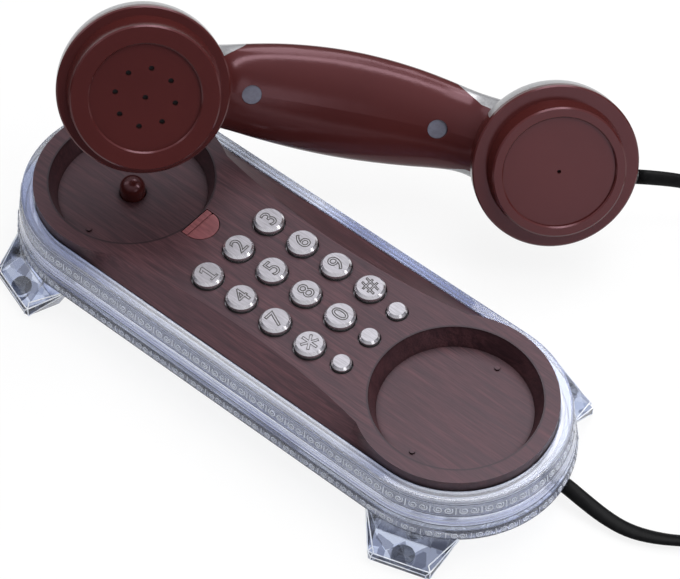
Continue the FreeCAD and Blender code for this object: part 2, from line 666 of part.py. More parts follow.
def make_hook_spring():
    low = PAN_TOP_Z + SPRING_WIRE / 2 + SPRING_SEAT_GAP
    high = PLUNGER_SKIRT_BOTTOM_Z - SPRING_WIRE / 2 - SPRING_SEAT_GAP

    def point_at(t):
        angle = 2 * math.pi * t
        height = low + (high - low) * t / SPRING_TURNS
        return V(-CUP_X + SPRING_RADIUS * math.cos(angle), SPRING_RADIUS * math.sin(angle), height)

    wire = SPRING_WIRE / 2
    return winding("hook_spring", point_at, SPRING_TURNS, CURL_STEPS_PER_TURN, wire, SPRING_WIRE)[0]


def make_hook_switch():
    reach = (SPRING_RADIUS + SPRING_WIRE / 2 + PLUNGER_SKIRT_RADIUS) / 2
    near = -CUP_X + reach - SWITCH_BUTTON_RADIUS
    half = SWITCH_WIDTH / 2
    body = box(near, near + SWITCH_LENGTH, -half, half, PAN_TOP_Z, PAN_TOP_Z + SWITCH_HEIGHT)
    button_top = PLUNGER_SKIRT_BOTTOM_Z - PLUNGER_TRAVEL - SWITCH_GAP
    button = rod(SWITCH_BUTTON_RADIUS, PAN_TOP_Z + SWITCH_HEIGHT - EPS, button_top, -CUP_X + reach)
    return joined([body, button])


def make_handset_retainer():
    tab = tab_outline(0, PLATE_Z - TAB_THICKNESS, PLATE_Z)
    edge = -CUP_X + TAB_EDGE_X + TAB_GROOVE_OFFSET
    half = TAB_GROOVE_WIDTH / 2
    groove = box(edge - half, edge + half, -DEEP, DEEP, PLATE_Z - TAB_GROOVE_DEPTH, PLATE_Z + 1)
    return tab.cut(groove)


def make_ringer():
    x = CUP_X + RINGER_OFFSET
    body = rod(RINGER_RADIUS, PAN_TOP_Z, PAN_TOP_Z + RINGER_HEIGHT, x)
    return body.cut(rod(RINGER_PORT_RADIUS, PAN_TOP_Z + RINGER_HEIGHT / 2, PAN_TOP_Z + RINGER_HEIGHT + 1, x))


def make_ballast():
    half = BALLAST_WIDTH / 2
    middle = (BAY_START_X + BAY_END_X) / 2
    return box(middle - BALLAST_LENGTH / 2, middle + BALLAST_LENGTH / 2, -half, half,
               PAN_TOP_Z, PAN_TOP_Z + BALLAST_THICKNESS)


def make_line_jack():
    face = -CUP_X - half_width(TRAY_TOP_Z) + JACK_SETBACK
    half = JACK_PORT_WIDTH / 2
    low = PAN_TOP_Z + (JACK_HEIGHT - JACK_PORT_HEIGHT) / 2
    port = box(face - 1, face + JACK_PORT_DEPTH, -half, half, low, low + JACK_PORT_HEIGHT)
    return jack_box(0).cut(port)


def make_cord_gland():
    half = GLAND_WIDTH / 2
    body = box(GLAND_END_X - GLAND_LENGTH, GLAND_END_X, CORD_EXIT_Y - half, CORD_EXIT_Y + half,
               FOOT_HEIGHT - GLAND_HEIGHT, FOOT_HEIGHT)
    uprights = [e for e in body.Edges if e.BoundBox.ZLength > GLAND_HEIGHT - EPS]
    body = body.makeFillet(GLAND_WIDTH / 4, uprights)
    spigot = rod(GLAND_SPIGOT_RADIUS, FOOT_HEIGHT - EPS, FOOT_HEIGHT + GLAND_SPIGOT_HEIGHT,
                 GLAND_END_X - GLAND_LENGTH / 2, CORD_EXIT_Y)
    return joined([body, spigot])


def handset_cup(x, inset, low):
    """Domed cup behind one cap: a spherical crown that runs smoothly into a round flank."""
    edge = V(BACK_RADIUS, 0, RIM_THICKNESS + BACK_GAP)
    shoulder = V(BACK_SHOULDER_RADIUS, 0, BACK_SHOULDER_HEIGHT)
    drop = BACK_TOP - shoulder.z
    crown_radius = (shoulder.x ** 2 + drop ** 2) / (2 * drop)
    crown_centre = V(0, 0, BACK_TOP - crown_radius)
    outward = (shoulder - crown_centre).normalize()
    span = edge - shoulder
    flank_radius = -span.dot(span) / (2 * span.dot(outward))
    flank_centre = shoulder - outward * flank_radius

    def around(centre, radius, angle):
        return centre + V(math.cos(angle), 0, math.sin(angle)) * (radius - inset) + V(x, 0, 0)

    turn = math.atan2(outward.z, outward.x)
    low_turn = math.asin((edge.z - flank_centre.z) / (flank_radius - inset))
    flank = arc(around(flank_centre, flank_radius, low_turn),
                around(flank_centre, flank_radius, (low_turn + turn) / 2),
                around(flank_centre, flank_radius, turn))
    crown = arc(around(crown_centre, crown_radius, turn),
                around(crown_centre, crown_radius, (turn + math.pi / 2) / 2),
                around(crown_centre, crown_radius, math.pi / 2))
    start = around(flank_centre, flank_radius, low_turn)
    top = around(crown_centre, crown_radius, math.pi / 2)
    foot = V(start.x, 0, low)
    axis_foot = V(x, 0, low)
    edges = [flank, crown, Part.makeLine(top, axis_foot), Part.makeLine(axis_foot, foot)]
    if (foot - start).Length > EPS:
        edges.append(Part.makeLine(foot, start))
    return Part.Face(Part.Wire(edges)).revolve(V(x, 0, 0), V(0, 0, 1), 360)


def handle(inset):
    """Arched grip through oval sections, drawn in by inset, in two halves that meet along its middle."""
    rings = []
    mirrored = [(-x, w, a, b) for x, w, a, b in reversed(HANDLE_SECTIONS[1:])]
    for x, half, inner, outer in mirrored + list(HANDLE_SECTIONS):
        middle = V(x, 0, (inner + outer) / 2)
        tall = (outer - inner) / 2 - inset
        oval = Part.Ellipse(middle + V(0, half - inset, 0), middle + V(0, 0, tall), middle)
        quarter = math.pi / 2
        halves = [Part.ArcOfEllipse(oval, quarter, 3 * quarter),
                  Part.ArcOfEllipse(oval, 3 * quarter, 5 * quarter)]
        rings.append(Part.Wire([half_oval.toShape() for half_oval in halves]))
    return Part.makeLoft(rings, True, False)


def handset_body(inset, low):
    return joined([handle(inset), handset_cup(-CUP_X, inset, low), handset_cup(CUP_X, inset, low)])


def front_region():
    """Room of the brown front half: the full grip, then a narrower, lower neck towards each cup."""
    plan = [V(HANDSET_SEAM_X, DEEP, 0), V(HANDSET_SEAM_X, HANDLE_SECTIONS[3][1], 0),
            V(NECK_START_X, NECK_HALF_WIDTH, 0), V(NECK_END_X, NECK_HALF_WIDTH, 0)]
    right = plan + [V(p.x, -p.y, 0) for p in reversed(plan)]
    corners = right + [V(-p.x, -p.y, 0) for p in right]
    across = Part.Face(Part.makePolygon(corners + corners[:1])).extrude(V(0, 0, DEEP))
    lift = [(NECK_END_X, 0), (NECK_END_X, NECK_END_Z), (NECK_START_X, NECK_START_Z),
            (HANDSET_SEAM_X, HANDSET_SPLIT_Z)]
    side = [V(x, -DEEP, z) for x, z in lift] + [V(-x, -DEEP, z) for x, z in reversed(lift)]
    return across.common(Part.Face(Part.makePolygon(side + side[:1])).extrude(V(0, 2 * DEEP, 0)))


def plug_spots():
    return [-PLUG_X, PLUG_X]


def make_handset_shells():
    outer = handset_body(0, RIM_THICKNESS + BACK_GAP)
    inner = handset_body(HANDSET_WALL, RIM_THICKNESS + BACK_GAP - 1)
    skin = outer.cut(inner)
    region = front_region()
    front = skin.common(region)
    seam = HANDSET_SEAM_X
    back = skin.common(box(-seam, seam, -DEEP, DEEP, HANDSET_SPLIT_Z, DEEP))
    ends = []
    for low, high in ((-3 * DEEP, -seam), (seam, 3 * DEEP)):
        ends.append(skin.common(box(low, high, -DEEP, DEEP, 0, DEEP)).cut(region))
    rooted = handle(HANDSET_WALL / 2)
    lower = [rod(HANDSET_POST_RADIUS, 0, HANDSET_SPLIT_Z, x).common(rooted) for x in plug_spots()]
    upper = [rod(HANDSET_POST_RADIUS, HANDSET_SPLIT_Z, DEEP, x).common(rooted) for x in plug_spots()]
    front = front.multiFuse(lower)
    back = back.multiFuse(upper)
    head_seat = PLUG_SEAT_Z + PLUG_THICKNESS + HANDSET_SCREW_HEAD_HEIGHT
    wells = [rod(PLUG_RADIUS + PLUG_GAP, 0, head_seat, x) for x in plug_spots()]
    holes = [rod(HANDSET_SCREW_RADIUS + SCREW_GAP, 0, HANDSET_SPLIT_Z + HANDSET_SCREW_BITE + SCREW_GAP, x)
             for x in plug_spots()]
    front = front.cut(Part.makeCompound(wells)).cut(Part.makeCompound(holes))
    back = back.cut(Part.makeCompound(holes))
    ends[1] = ends[1].cut(grommet_space(SCREW_GAP))
    return front, back, ends[0], ends[1]


def grommet_space(grow):
    start = CUP_X + BACK_RADIUS - GROMMET_LENGTH + GROMMET_PROUD
    return Part.makeCylinder(GROMMET_RADIUS + grow, GROMMET_LENGTH, V(start, 0, GROMMET_Z), V(1, 0, 0))


def cord_leaves_handset():
    return V(CUP_X + BACK_RADIUS + GROMMET_PROUD, 0, GROMMET_Z)


def make_cap(x, ring_radius, ring_height, recess_radius):
    """Round cap: flat rim, raised ring with a shallow recess, and a hollow back."""
    base = ring_radius + RING_DRAFT
    floor_out = -ring_height + RECESS_DEPTH
    floor_in = floor_out + CAP_WALL
    spigot = BACK_RADIUS - HANDSET_WALL - CAP_SPIGOT_GAP
    deep = RIM_THICKNESS + CAP_SPIGOT
    face = -ring_height
    draft = RING_DRAFT * CAP_EDGE / ring_height
    profile = [(0, floor_out), (recess_radius, floor_out), (recess_radius, face + CAP_EDGE),
               (recess_radius + CAP_EDGE, face), (ring_radius - CAP_EDGE, face),
               (ring_radius + draft, face + CAP_EDGE), (base, 0), (RIM_RADIUS - CAP_EDGE, 0),
               (RIM_RADIUS, CAP_EDGE), (RIM_RADIUS, RIM_THICKNESS),
               (spigot, RIM_THICKNESS), (spigot, deep), (spigot - CAP_WALL, deep),
               (ring_radius - CAP_WALL, RIM_THICKNESS), (ring_radius - CAP_WALL, floor_in), (0, floor_in)]
    return turned(profile, x)


def make_ear_cap():
    cap = make_cap(-CUP_X, EAR_RING_RADIUS, EAR_RING_HEIGHT, EAR_RECESS_RADIUS)
    holes = [rod(EAR_HOLE_RADIUS, -DEEP, 0, -CUP_X)]
    for i in range(EAR_HOLE_COUNT):
        angle = 2 * math.pi * i / EAR_HOLE_COUNT
        holes.append(rod(EAR_HOLE_RADIUS, -DEEP, 0, -CUP_X + EAR_HOLE_CIRCLE * math.cos(angle),
                         EAR_HOLE_CIRCLE * math.sin(angle)))
    return cap.cut(Part.makeCompound(holes))


def make_mouth_cap():
    cap = make_cap(CUP_X, MOUTH_RING_RADIUS, MOUTH_RING_HEIGHT, MOUTH_RECESS_RADIUS)
    return cap.cut(rod(MOUTH_HOLE_RADIUS, -DEEP, 0, CUP_X))


def make_receiver():
    low = -EAR_RING_HEIGHT + RECESS_DEPTH + CAP_WALL
    return rod(RECEIVER_RADIUS, low, low + RECEIVER_HEIGHT, -CUP_X)


def make_microphone():
    low = -MOUTH_RING_HEIGHT + RECESS_DEPTH + CAP_WALL
    return rod(MICROPHONE_RADIUS, low, low + MICROPHONE_HEIGHT, CUP_X)


def make_screw_plugs():
    low = PLUG_SEAT_Z + PLUG_SINK
    high = PLUG_SEAT_Z + PLUG_THICKNESS
    return Part.makeCompound([rod(PLUG_RADIUS, low, high, x) for x in plug_spots()])


def make_handset_screws():
    low = PLUG_SEAT_Z + PLUG_THICKNESS
    return Part.makeCompound([slotted_screw(x, 0, low, HANDSET_SCREW_HEAD_RADIUS, HANDSET_SCREW_HEAD_HEIGHT,
                                            HANDSET_SCREW_RADIUS, HANDSET_SPLIT_Z + HANDSET_SCREW_BITE)
                              for x in plug_spots()])


def make_handset_weight():
    half_x = WEIGHT_LENGTH / 2
    half_y = WEIGHT_WIDTH / 2
    return box(-half_x, half_x, -half_y, half_y, WEIGHT_SEAT_Z, WEIGHT_SEAT_Z + WEIGHT_THICKNESS)


def handset_pose():
    """Turns and moves the lying handset to where it hangs in the air."""
    along = V(HANDSET_ALONG).normalize()
    facing = HANDSET_FACING - along * HANDSET_FACING.dot(along)
    up = facing.normalize() * -1
    side = up.cross(along)
    return FreeCAD.Matrix(along.x, side.x, up.x, HANDSET_X, along.y, side.y, up.y, HANDSET_Y,
                          along.z, side.z, up.z, HANDSET_Z, 0, 0, 0, 1)


def curl_advance(t):
    """Pitches covered along the axis after t turns, with looser turns at both ends."""
    if t > CURL_TURNS / 2:
        return CURL_TURNS + CURL_EASE_STRETCH * CURL_EASE_TURNS - curl_advance(CURL_TURNS - t)
    near = min(t, CURL_EASE_TURNS)
    return t + CURL_EASE_STRETCH * (near - near * near / (2 * CURL_EASE_TURNS))


def curl_point(t):
    """Point of the curls: a helix lying on the floor along an arc, easing in and out at its ends."""
    share = curl_advance(t) / curl_advance(CURL_TURNS)
    angle = math.radians(CURL_START_ANGLE + (CURL_END_ANGLE - CURL_START_ANGLE) * share)
    ease = min(t, CURL_TURNS - t, CURL_EASE_TURNS) / CURL_EASE_TURNS
    radius = CURL_RADIUS * ease * ease * (3 - 2 * ease)
    phase = 2 * math.pi * t
    out = V(math.cos(angle), math.sin(angle), 0)
    axis = V(CURL_CENTRE_X, CURL_CENTRE_Y, CORD_FLOOR_Z + radius) + out * CURL_BEND_RADIUS
    return axis + out * (radius * math.cos(phase)) + V(0, 0, radius * math.sin(phase))


def base_tail_points(end, heading):
    return [V(GLAND_END_X, CORD_EXIT_Y, CORD_EXIT_Z), V(109.8, CORD_EXIT_Y, CORD_EXIT_Z),
            V(118.6, 11.1, 5.3), V(127.5, 11.3, 3.5), V(136.4, 12.3, 2.8), V(145.2, 16.0, 2.6),
            V(153.7, 21.7, CORD_FLOOR_Z), end - heading * TAIL_RUN, end]


def handset_tail_points(start, heading, grommet, outward):
    return [start, start + heading * TAIL_RUN, V(100.8, 149.0, 5.0), V(91.5, 144.4, 10.5),
            V(83.3, 137.5, 17.5), V(75.6, 129.3, 24.5), grommet + outward * TAIL_RUN, grommet]


def main():
    os.makedirs("parts", exist_ok=True)
    save("top_plate", make_top_plate())
    save("shell_ring", make_shell_ring())
    save("bottom_tray", make_bottom_tray())
    save("foot_pads", make_foot_pads())
    save("inner_pan", make_inner_pan())
    save("case_screws", make_case_screws())
    save("board_screws", make_board_screws())
    names = ("1", "2", "3", "4", "5", "6", "7", "8", "9", "star", "0", "hash")
    for i, name in enumerate(names):
        x = KEY_ROWS[i // 3]
        y = (i % 3 - 1) * KEY_PITCH_Y
        save("key_" + name, make_key(x, y, KEY_BODY_RADIUS, KEY_TOP_RADIUS, KEY_PROUD))
    for i, name in enumerate(("mute", "pause", "redial")):
        y = (i - 1) * SMALL_KEY_PITCH
        save("key_" + name, make_key(SMALL_KEY_X, y, SMALL_KEY_RADIUS, SMALL_KEY_TOP_RADIUS, SMALL_KEY_PROUD))
    save("key_mat", make_key_mat())
    save("main_board", make_main_board())
    save("hook_plunger", make_hook_plunger())
    save("hook_spring", make_hook_spring())
    save("hook_switch", make_hook_switch())
    save("handset_retainer", make_handset_retainer())
    save("ringer", make_ringer())
    save("ballast", make_ballast())
    save("line_jack", make_line_jack())
    save("cord_gland", make_cord_gland())

    pose = handset_pose()
    front, back, ear_back, mouth_back = make_handset_shells()
    handset = {"handset_front": front, "handset_back": back, "ear_back": ear_back, "mouth_back": mouth_back,
               "ear_cap": make_ear_cap(), "mouth_cap": make_mouth_cap(), "receiver": make_receiver(),
               "microphone": make_microphone(), "screw_plugs": make_screw_plugs(),
               "handset_screws": make_handset_screws(), "handset_weight": make_handset_weight(),
               "cord_grommet": grommet_space(0)}
    for node, shape in handset.items():
        save(node, shape.transformed(pose, True))

    lead = 2 * CORD_RADIUS
    curls, ends = winding("cord_curls", curl_point, CURL_TURNS, CURL_STEPS_PER_TURN, CORD_RADIUS, lead)
    save("cord_curls", curls)
    first, first_heading, last, last_heading = ends
    save("cord_base_tail", cord_tube("cord_base_tail", base_tail_points(first, first_heading), CORD_RADIUS))
    grommet = pose.multVec(cord_leaves_handset())
    outward = V(HANDSET_ALONG).normalize()
    points = handset_tail_points(last, last_heading, grommet, outward)
    save("cord_handset_tail", cord_tube("cord_handset_tail", points, CORD_RADIUS))


main()
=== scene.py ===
import math

import bmesh
import bpy
from mathutils import Matrix, Vector


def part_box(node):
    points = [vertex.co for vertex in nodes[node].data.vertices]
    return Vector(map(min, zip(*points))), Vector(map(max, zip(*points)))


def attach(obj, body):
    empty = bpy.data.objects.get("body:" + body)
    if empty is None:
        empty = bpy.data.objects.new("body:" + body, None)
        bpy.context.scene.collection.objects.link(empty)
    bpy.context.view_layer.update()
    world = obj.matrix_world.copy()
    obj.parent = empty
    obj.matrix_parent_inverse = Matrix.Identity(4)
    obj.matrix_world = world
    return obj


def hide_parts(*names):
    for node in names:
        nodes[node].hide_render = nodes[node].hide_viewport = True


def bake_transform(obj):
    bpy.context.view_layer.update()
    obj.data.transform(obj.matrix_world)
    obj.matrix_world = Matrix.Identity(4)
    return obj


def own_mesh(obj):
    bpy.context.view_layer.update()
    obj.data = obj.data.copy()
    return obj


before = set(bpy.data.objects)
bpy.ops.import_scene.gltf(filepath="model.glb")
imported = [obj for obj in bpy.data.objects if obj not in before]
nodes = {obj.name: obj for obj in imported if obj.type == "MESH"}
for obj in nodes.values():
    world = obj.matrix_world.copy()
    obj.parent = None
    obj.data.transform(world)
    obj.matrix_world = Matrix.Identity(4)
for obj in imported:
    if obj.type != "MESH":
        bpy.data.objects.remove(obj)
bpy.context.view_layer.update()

# Table, light and camera
# The phone stands on a plain white table top under broad soft lamps.
# The camera looks down over the mouthpiece end of the base.
turn = math.radians(40.402)
tilt = math.radians(51.701)
camera_place = (0.4162, -0.4625, 0.8185)
back = Vector((math.sin(turn) * math.cos(tilt), -math.cos(turn) * math.cos(tilt), math.sin(tilt)))
right = Vector((math.cos(turn), math.sin(turn), 0))
lens = bpy.data.cameras.new("camera")
lens.sensor_fit = "HORIZONTAL"
lens.sensor_width = 36
lens.lens = 156.9
lens.clip_end = 30
camera = bpy.data.objects.new("camera", lens)
camera.matrix_world = Matrix.Translation(camera_place) @ Matrix(
    (right, back.cross(right), back)).transposed().to_4x4()
bpy.context.collection.objects.link(camera)
bpy.context.scene.camera = camera
bpy.context.scene.view_settings.view_transform = "Standard"


def feed(tree, term, socket):
    """Joins an output to a socket, or sets the socket to a fixed value."""
    if isinstance(term, bpy.types.NodeSocket):
        tree.links.new(term, socket)
    else:
        socket.default_value = term


def sum_of(tree, operation, *terms):
    """Result of one piece of arithmetic; each term is a number or an output."""
    node = tree.nodes.new("ShaderNodeMath")
    node.operation = operation
    for socket, term in zip(node.inputs, terms):
        feed(tree, term, socket)
    return node.outputs[0]


def either(tree, share, first, second):
    """Two shaders mixed by a share."""
    mix = tree.nodes.new("ShaderNodeMixShader")
    for socket, term in zip(mix.inputs, (share, first, second)):
        feed(tree, term, socket)
    return mix.outputs[0]


def axis_of(tree, coordinates, axis):
    """One axis of the place or the normal that a surface point has."""
    place = tree.nodes.new("ShaderNodeTexCoord")
    axes = tree.nodes.new("ShaderNodeSeparateXYZ")
    tree.links.new(place.outputs[coordinates], axes.inputs["Vector"])
    return axes.outputs[axis]


def shades(tree, source, *stops):
    """Colours along a source value."""
    ramp = tree.nodes.new("ShaderNodeValToRGB")
    while len(ramp.color_ramp.elements) < len(stops):
        ramp.color_ramp.elements.new(0.5)
    for element, (at, colour) in zip(ramp.color_ramp.elements, stops):
        element.position = at
        element.color = (*colour, 1)
    tree.links.new(source, ramp.inputs["Fac"])
    return ramp.outputs["Color"]


def seen_directly(tree):
    """One where a camera, glossy or transmission ray meets the surface, zero for all other light."""
    path = tree.nodes.new("ShaderNodeLightPath")
    seen = path.outputs["Is Camera Ray"]
    for ray in ("Is Glossy Ray", "Is Transmission Ray"):
        seen = sum_of(tree, "MAXIMUM", seen, path.outputs[ray])
    return seen


world = bpy.data.worlds.new("studio")
world.use_nodes = True
bpy.context.scene.world = world
sky = world.node_tree
soft = sky.nodes["Background"]
soft.inputs["Color"].default_value = (0.95, 0.96, 1.0, 1)
soft.inputs["Strength"].default_value = 0.31
mirrored_room = sky.nodes.new("ShaderNodeBackground")
mirrored_room.inputs["Strength"].default_value = 1.0
room_tone = shades(sky, axis_of(sky, "Generated", "Z"), (0.12, (0.05, 0.05, 0.07)), (0.72, (0.97, 0.97, 1)))
sky.links.new(room_tone, mirrored_room.inputs["Color"])
backdrop = sky.nodes.new("ShaderNodeBackground")
backdrop.inputs["Strength"].default_value = 1.0
backdrop.inputs["Color"].default_value = (1, 1, 1, 1)
room = either(sky, seen_directly(sky), soft.outputs[0], mirrored_room.outputs[0])
camera_ray = sky.nodes.new("ShaderNodeLightPath").outputs["Is Camera Ray"]
sky.links.new(either(sky, camera_ray, room, backdrop.outputs[0]), sky.nodes["World Output"].inputs["Surface"])

table_half = 4
table_glow = 0.86
table_mesh = bpy.data.meshes.new("table")
table_mesh.from_pydata([(-table_half, -table_half, 0), (table_half, -table_half, 0),
                        (table_half, table_half, 0), (-table_half, table_half, 0)], [], [(0, 1, 2, 3)])
table = bpy.data.objects.new("table", table_mesh)
bpy.context.collection.objects.link(table)
table_top = bpy.data.materials.new("table_top")
table_top.use_nodes = True
tree = table_top.node_tree
tree.nodes.clear()
matt = tree.nodes.new("ShaderNodeBsdfDiffuse")
matt.inputs["Color"].default_value = (0.85, 0.85, 0.85, 1)
bright = tree.nodes.new("ShaderNodeEmission")
bright.inputs["Strength"].default_value = 1.0
glow_share = sum_of(tree, "MULTIPLY", seen_directly(tree), table_glow)
table_out = tree.nodes.new("ShaderNodeOutputMaterial")
tree.links.new(either(tree, glow_share, matt.outputs[0], bright.outputs[0]), table_out.inputs["Surface"])
table_mesh.materials.append(table_top)

lamp_aim = Vector((0, 0.03, 0.03))
for lamp_name, place, width, height, watts in (("lamp_left", (-1.1, -0.5, 1.0), 0.6, 0.9, 2.4),
                                               ("lamp_right", (1.0, 0.45, 1.1), 0.3, 1.2, 8.0),
                                               ("lamp_back", (-0.1, 0.7, 1.27), 0.75, 0.75, 8.5),
                                               ("lamp_low", (1.25, -0.38, 0.33), 0.62, 0.4, 1.2),
                                               ("lamp_top", (0.2, 0.12, 1.5), 0.8, 0.8, 9.5)):
    lamp = bpy.data.lights.new(lamp_name, "AREA")
    lamp.shape = "RECTANGLE"
    lamp.size = width
    lamp.size_y = height
    lamp.energy = watts
    holder = bpy.data.objects.new(lamp_name, lamp)
    holder.location = place
    holder.rotation_euler = (lamp_aim - Vector(place)).to_track_quat("-Z", "Y").to_euler()
    bpy.context.collection.objects.link(holder)

# Foot pads
# Four round grey rubber pads, pressed into wells under the clear feet.
# Moulded rubber with a faint cloudy surface.


def new_finish(name):
    """Empty finish with its main shader."""
    finish = bpy.data.materials.new(name)
    finish.use_nodes = True
    return finish, finish.node_tree, finish.node_tree.nodes["Principled BSDF"]


def speckle(tree, scale, detail=4.0, stretch=(1, 1, 1), distortion=0.0):
    """Noise over the piece's own coordinates, stretched along its axes."""
    place = tree.nodes.new("ShaderNodeTexCoord")
    spread = tree.nodes.new("ShaderNodeMapping")
    spread.inputs["Scale"].default_value = stretch
    noise = tree.nodes.new("ShaderNodeTexNoise")
    noise.inputs["Scale"].default_value = scale
    noise.inputs["Detail"].default_value = detail
    noise.inputs["Distortion"].default_value = distortion
    tree.links.new(place.outputs["Object"], spread.inputs["Vector"])
    tree.links.new(spread.outputs["Vector"], noise.inputs["Vector"])
    return noise.outputs["Fac"]


def between(tree, source, low, high, start=0.0, stop=1.0):
    """Source value, as it goes from start to stop, brought into a range from low to high."""
    span = tree.nodes.new("ShaderNodeMapRange")
    for label, value in (("From Min", start), ("From Max", stop), ("To Min", low), ("To Max", high)):
        span.inputs[label].default_value = value
    tree.links.new(source, span.inputs["Value"])
    return span.outputs["Result"]


def relief(tree, shader, height, strength, depth):
    """Fine surface relief from a height value."""
    bump = tree.nodes.new("ShaderNodeBump")
    bump.inputs["Strength"].default_value = strength
    bump.inputs["Distance"].default_value = depth
    tree.links.new(height, bump.inputs["Height"])
    tree.links.new(bump.outputs["Normal"], shader.inputs["Normal"])
    return bump


def mottled(name, scale, colours, roughness, stops=(0.3, 0.7), fixed=None, bump=None, **noise_values):
    """Finish with two colours and a range of roughness, mottled by one noise."""
    finish, tree, shader = new_finish(name)
    noise = speckle(tree, scale, **noise_values)
    tree.links.new(shades(tree, noise, *zip(stops, colours)), shader.inputs["Base Color"])
    tree.links.new(between(tree, noise, *roughness), shader.inputs["Roughness"])
    for label, value in (fixed or {}).items():
        shader.inputs[label].default_value = value
    if bump:
        relief(tree, shader, noise, *bump)
    return finish


def dress(finish, *names):
    """Gives the solids of these names a finish."""
    for name in names:
        mesh = nodes[name].data
        mesh.materials.clear()
        mesh.materials.append(finish)


pad_rubber = mottled("pad_rubber", scale=900, colours=((0.3, 0.3, 0.32), (0.46, 0.46, 0.49)),
                     roughness=(0.5, 0.7), bump=(0.2, 0.0002))
dress(pad_rubber, "foot_pads")

# Clear tray with its four feet, and clear surround
# Injection-moulded clear acrylic with a faint cold tint; the two halves meet at a thin seam.
# The feet are moulded on and cut like crystal with chamfered edges; painted light gives them bright edge
# tubes as painted highlights, facets painted lighter facing up and darker facing down, and painted glints.


def mixed(tree, factor, first, second, way="MIX", kind="RGBA"):
    """Two colours or values mixed by a factor; each is fixed or an output."""
    mix = tree.nodes.new("ShaderNodeMix")
    mix.data_type = kind
    mix.blend_type = way
    for label, term in (("Factor", factor), ("A", first), ("B", second)):
        feed(tree, term, mix.inputs[label])
    return mix.outputs["Result"]


clear_acrylic, tree, shader = new_finish("clear_acrylic")
level = axis_of(tree, "Object", "Z")
above_feet = between(tree, level, 0.0, 1.0, start=0.0105, stop=0.0125)
drawn = speckle(tree, 30, 3.0, (0.4, 0.4, 60))
# Painted light on the feet: facets facing up are painted lighter, facing down darker, and random cells add
# painted dark and bright glints.
painted_facet_shade = shades(tree, axis_of(tree, "Normal", "Z"), (0.1, (0.09, 0.11, 0.18)), (0.5, (0.3, 0.34, 0.47)),
                   (0.85, (0.62, 0.68, 0.84)))
facets = tree.nodes.new("ShaderNodeTexVoronoi")
facets.inputs["Scale"].default_value = 190
tree.links.new(tree.nodes.new("ShaderNodeTexCoord").outputs["Object"], facets.inputs["Vector"])
painted_facet_glints = shades(tree, facets.outputs["Color"], (0.36, (0.08, 0.095, 0.16)), (0.44, (0.75, 0.8, 0.95)),
                    (0.6, (1, 1, 1)))
crystal_painted_light = mixed(tree, 0.85, painted_facet_shade, painted_facet_glints, "MULTIPLY")
wall_tint = shades(tree, drawn, (0.4, (0.45, 0.49, 0.68)), (0.46, (0.86, 0.88, 0.97)), (0.6, (0.97, 0.98, 1)))
rounded = tree.nodes.new("ShaderNodeBevel")
rounded.samples = 6
rounded.inputs["Radius"].default_value = 0.0006
evenness = tree.nodes.new("ShaderNodeVectorMath")
evenness.operation = "DOT_PRODUCT"
tree.links.new(rounded.outputs["Normal"], evenness.inputs[0])
tree.links.new(tree.nodes.new("ShaderNodeNewGeometry").outputs["True Normal"], evenness.inputs[1])
flatness = between(tree, evenness.outputs["Value"], 0.0, 1.0, start=0.94, stop=0.985)
# Painted edge lines: bright painted highlights along the foot edges and dark painted lines along the wall
# edges.
painted_edge_lines = mixed(tree, above_feet, (0.95, 0.97, 1.0, 1), (0.16, 0.18, 0.28, 1))
flat_tint = mixed(tree, above_feet, crystal_painted_light, wall_tint)
tree.links.new(mixed(tree, flatness, painted_edge_lines, flat_tint), shader.inputs["Base Color"])
tree.links.new(between(tree, speckle(tree, 60, 3.0), 0.005, 0.03), shader.inputs["Roughness"])
foot_clearness = between(tree, flatness, 0.25, 1.0)
wall_clearness = between(tree, level, 0.88, 0.74, start=0.0285, stop=0.0292)
tree.links.new(mixed(tree, above_feet, foot_clearness, wall_clearness, kind="FLOAT"),
               shader.inputs["Transmission Weight"])
shader.inputs["IOR"].default_value = 1.46
streak_bump = relief(tree, shader, drawn, strength=0.06, depth=0.001)
tree.links.new(rounded.outputs["Normal"], streak_bump.inputs["Normal"])
see_through = tree.nodes.new("ShaderNodeBsdfTransparent")
see_through.inputs["Color"].default_value = (0.9, 0.93, 0.97, 1)
shadow_ray = tree.nodes.new("ShaderNodeLightPath").outputs["Is Shadow Ray"]
tree.links.new(either(tree, shadow_ray, shader.outputs[0], see_through.outputs[0]),
               tree.nodes["Material Output"].inputs["Surface"])
dress(clear_acrylic, "bottom_tray", "shell_ring")

cup_x = 0.0725
wall_reach = 0.0417
pad_x = 0.0863
pad_y = 0.0424
pad_well_reach = 0.0048
pad_middles = [(end * pad_x, side * pad_y) for end in (-1, 1) for side in (-1, 1)]


def nearest_axis_x(x):
    """Nearest place on the line from one cup's centre to the other's."""
    return max(-cup_x, min(cup_x, x))


def on_foot(vertex):
    """Whether a corner of the tray belongs to a foot and not to its pad well."""
    x, y = vertex.co.xy
    clear_of_wall = math.hypot(x - nearest_axis_x(x), y) > wall_reach
    near_pad = min(math.hypot(x - a, y - b) for a, b in pad_middles) < pad_well_reach
    return clear_of_wall and not near_pad


def is_ridge(edge, least_angle):
    """Whether two faces meet along an edge in an outward corner of more than so many degrees."""
    return (len(edge.link_faces) == 2 and edge.is_convex
            and edge.calc_face_angle() > math.radians(least_angle))


def meshed(former):
    """Plain mesh of an object, as its curve or its modifiers make it. The object itself goes."""
    bpy.context.collection.objects.link(former)
    mesh = bpy.data.meshes.new_from_object(former.evaluated_get(bpy.context.evaluated_depsgraph_get()))
    bpy.data.objects.remove(former)
    return mesh


def placed(name, mesh, finish):
    """New object of a mesh in one finish."""
    mesh.materials.clear()
    mesh.materials.append(finish)
    piece = bpy.data.objects.new(name, mesh)
    bpy.context.collection.objects.link(piece)
    return piece


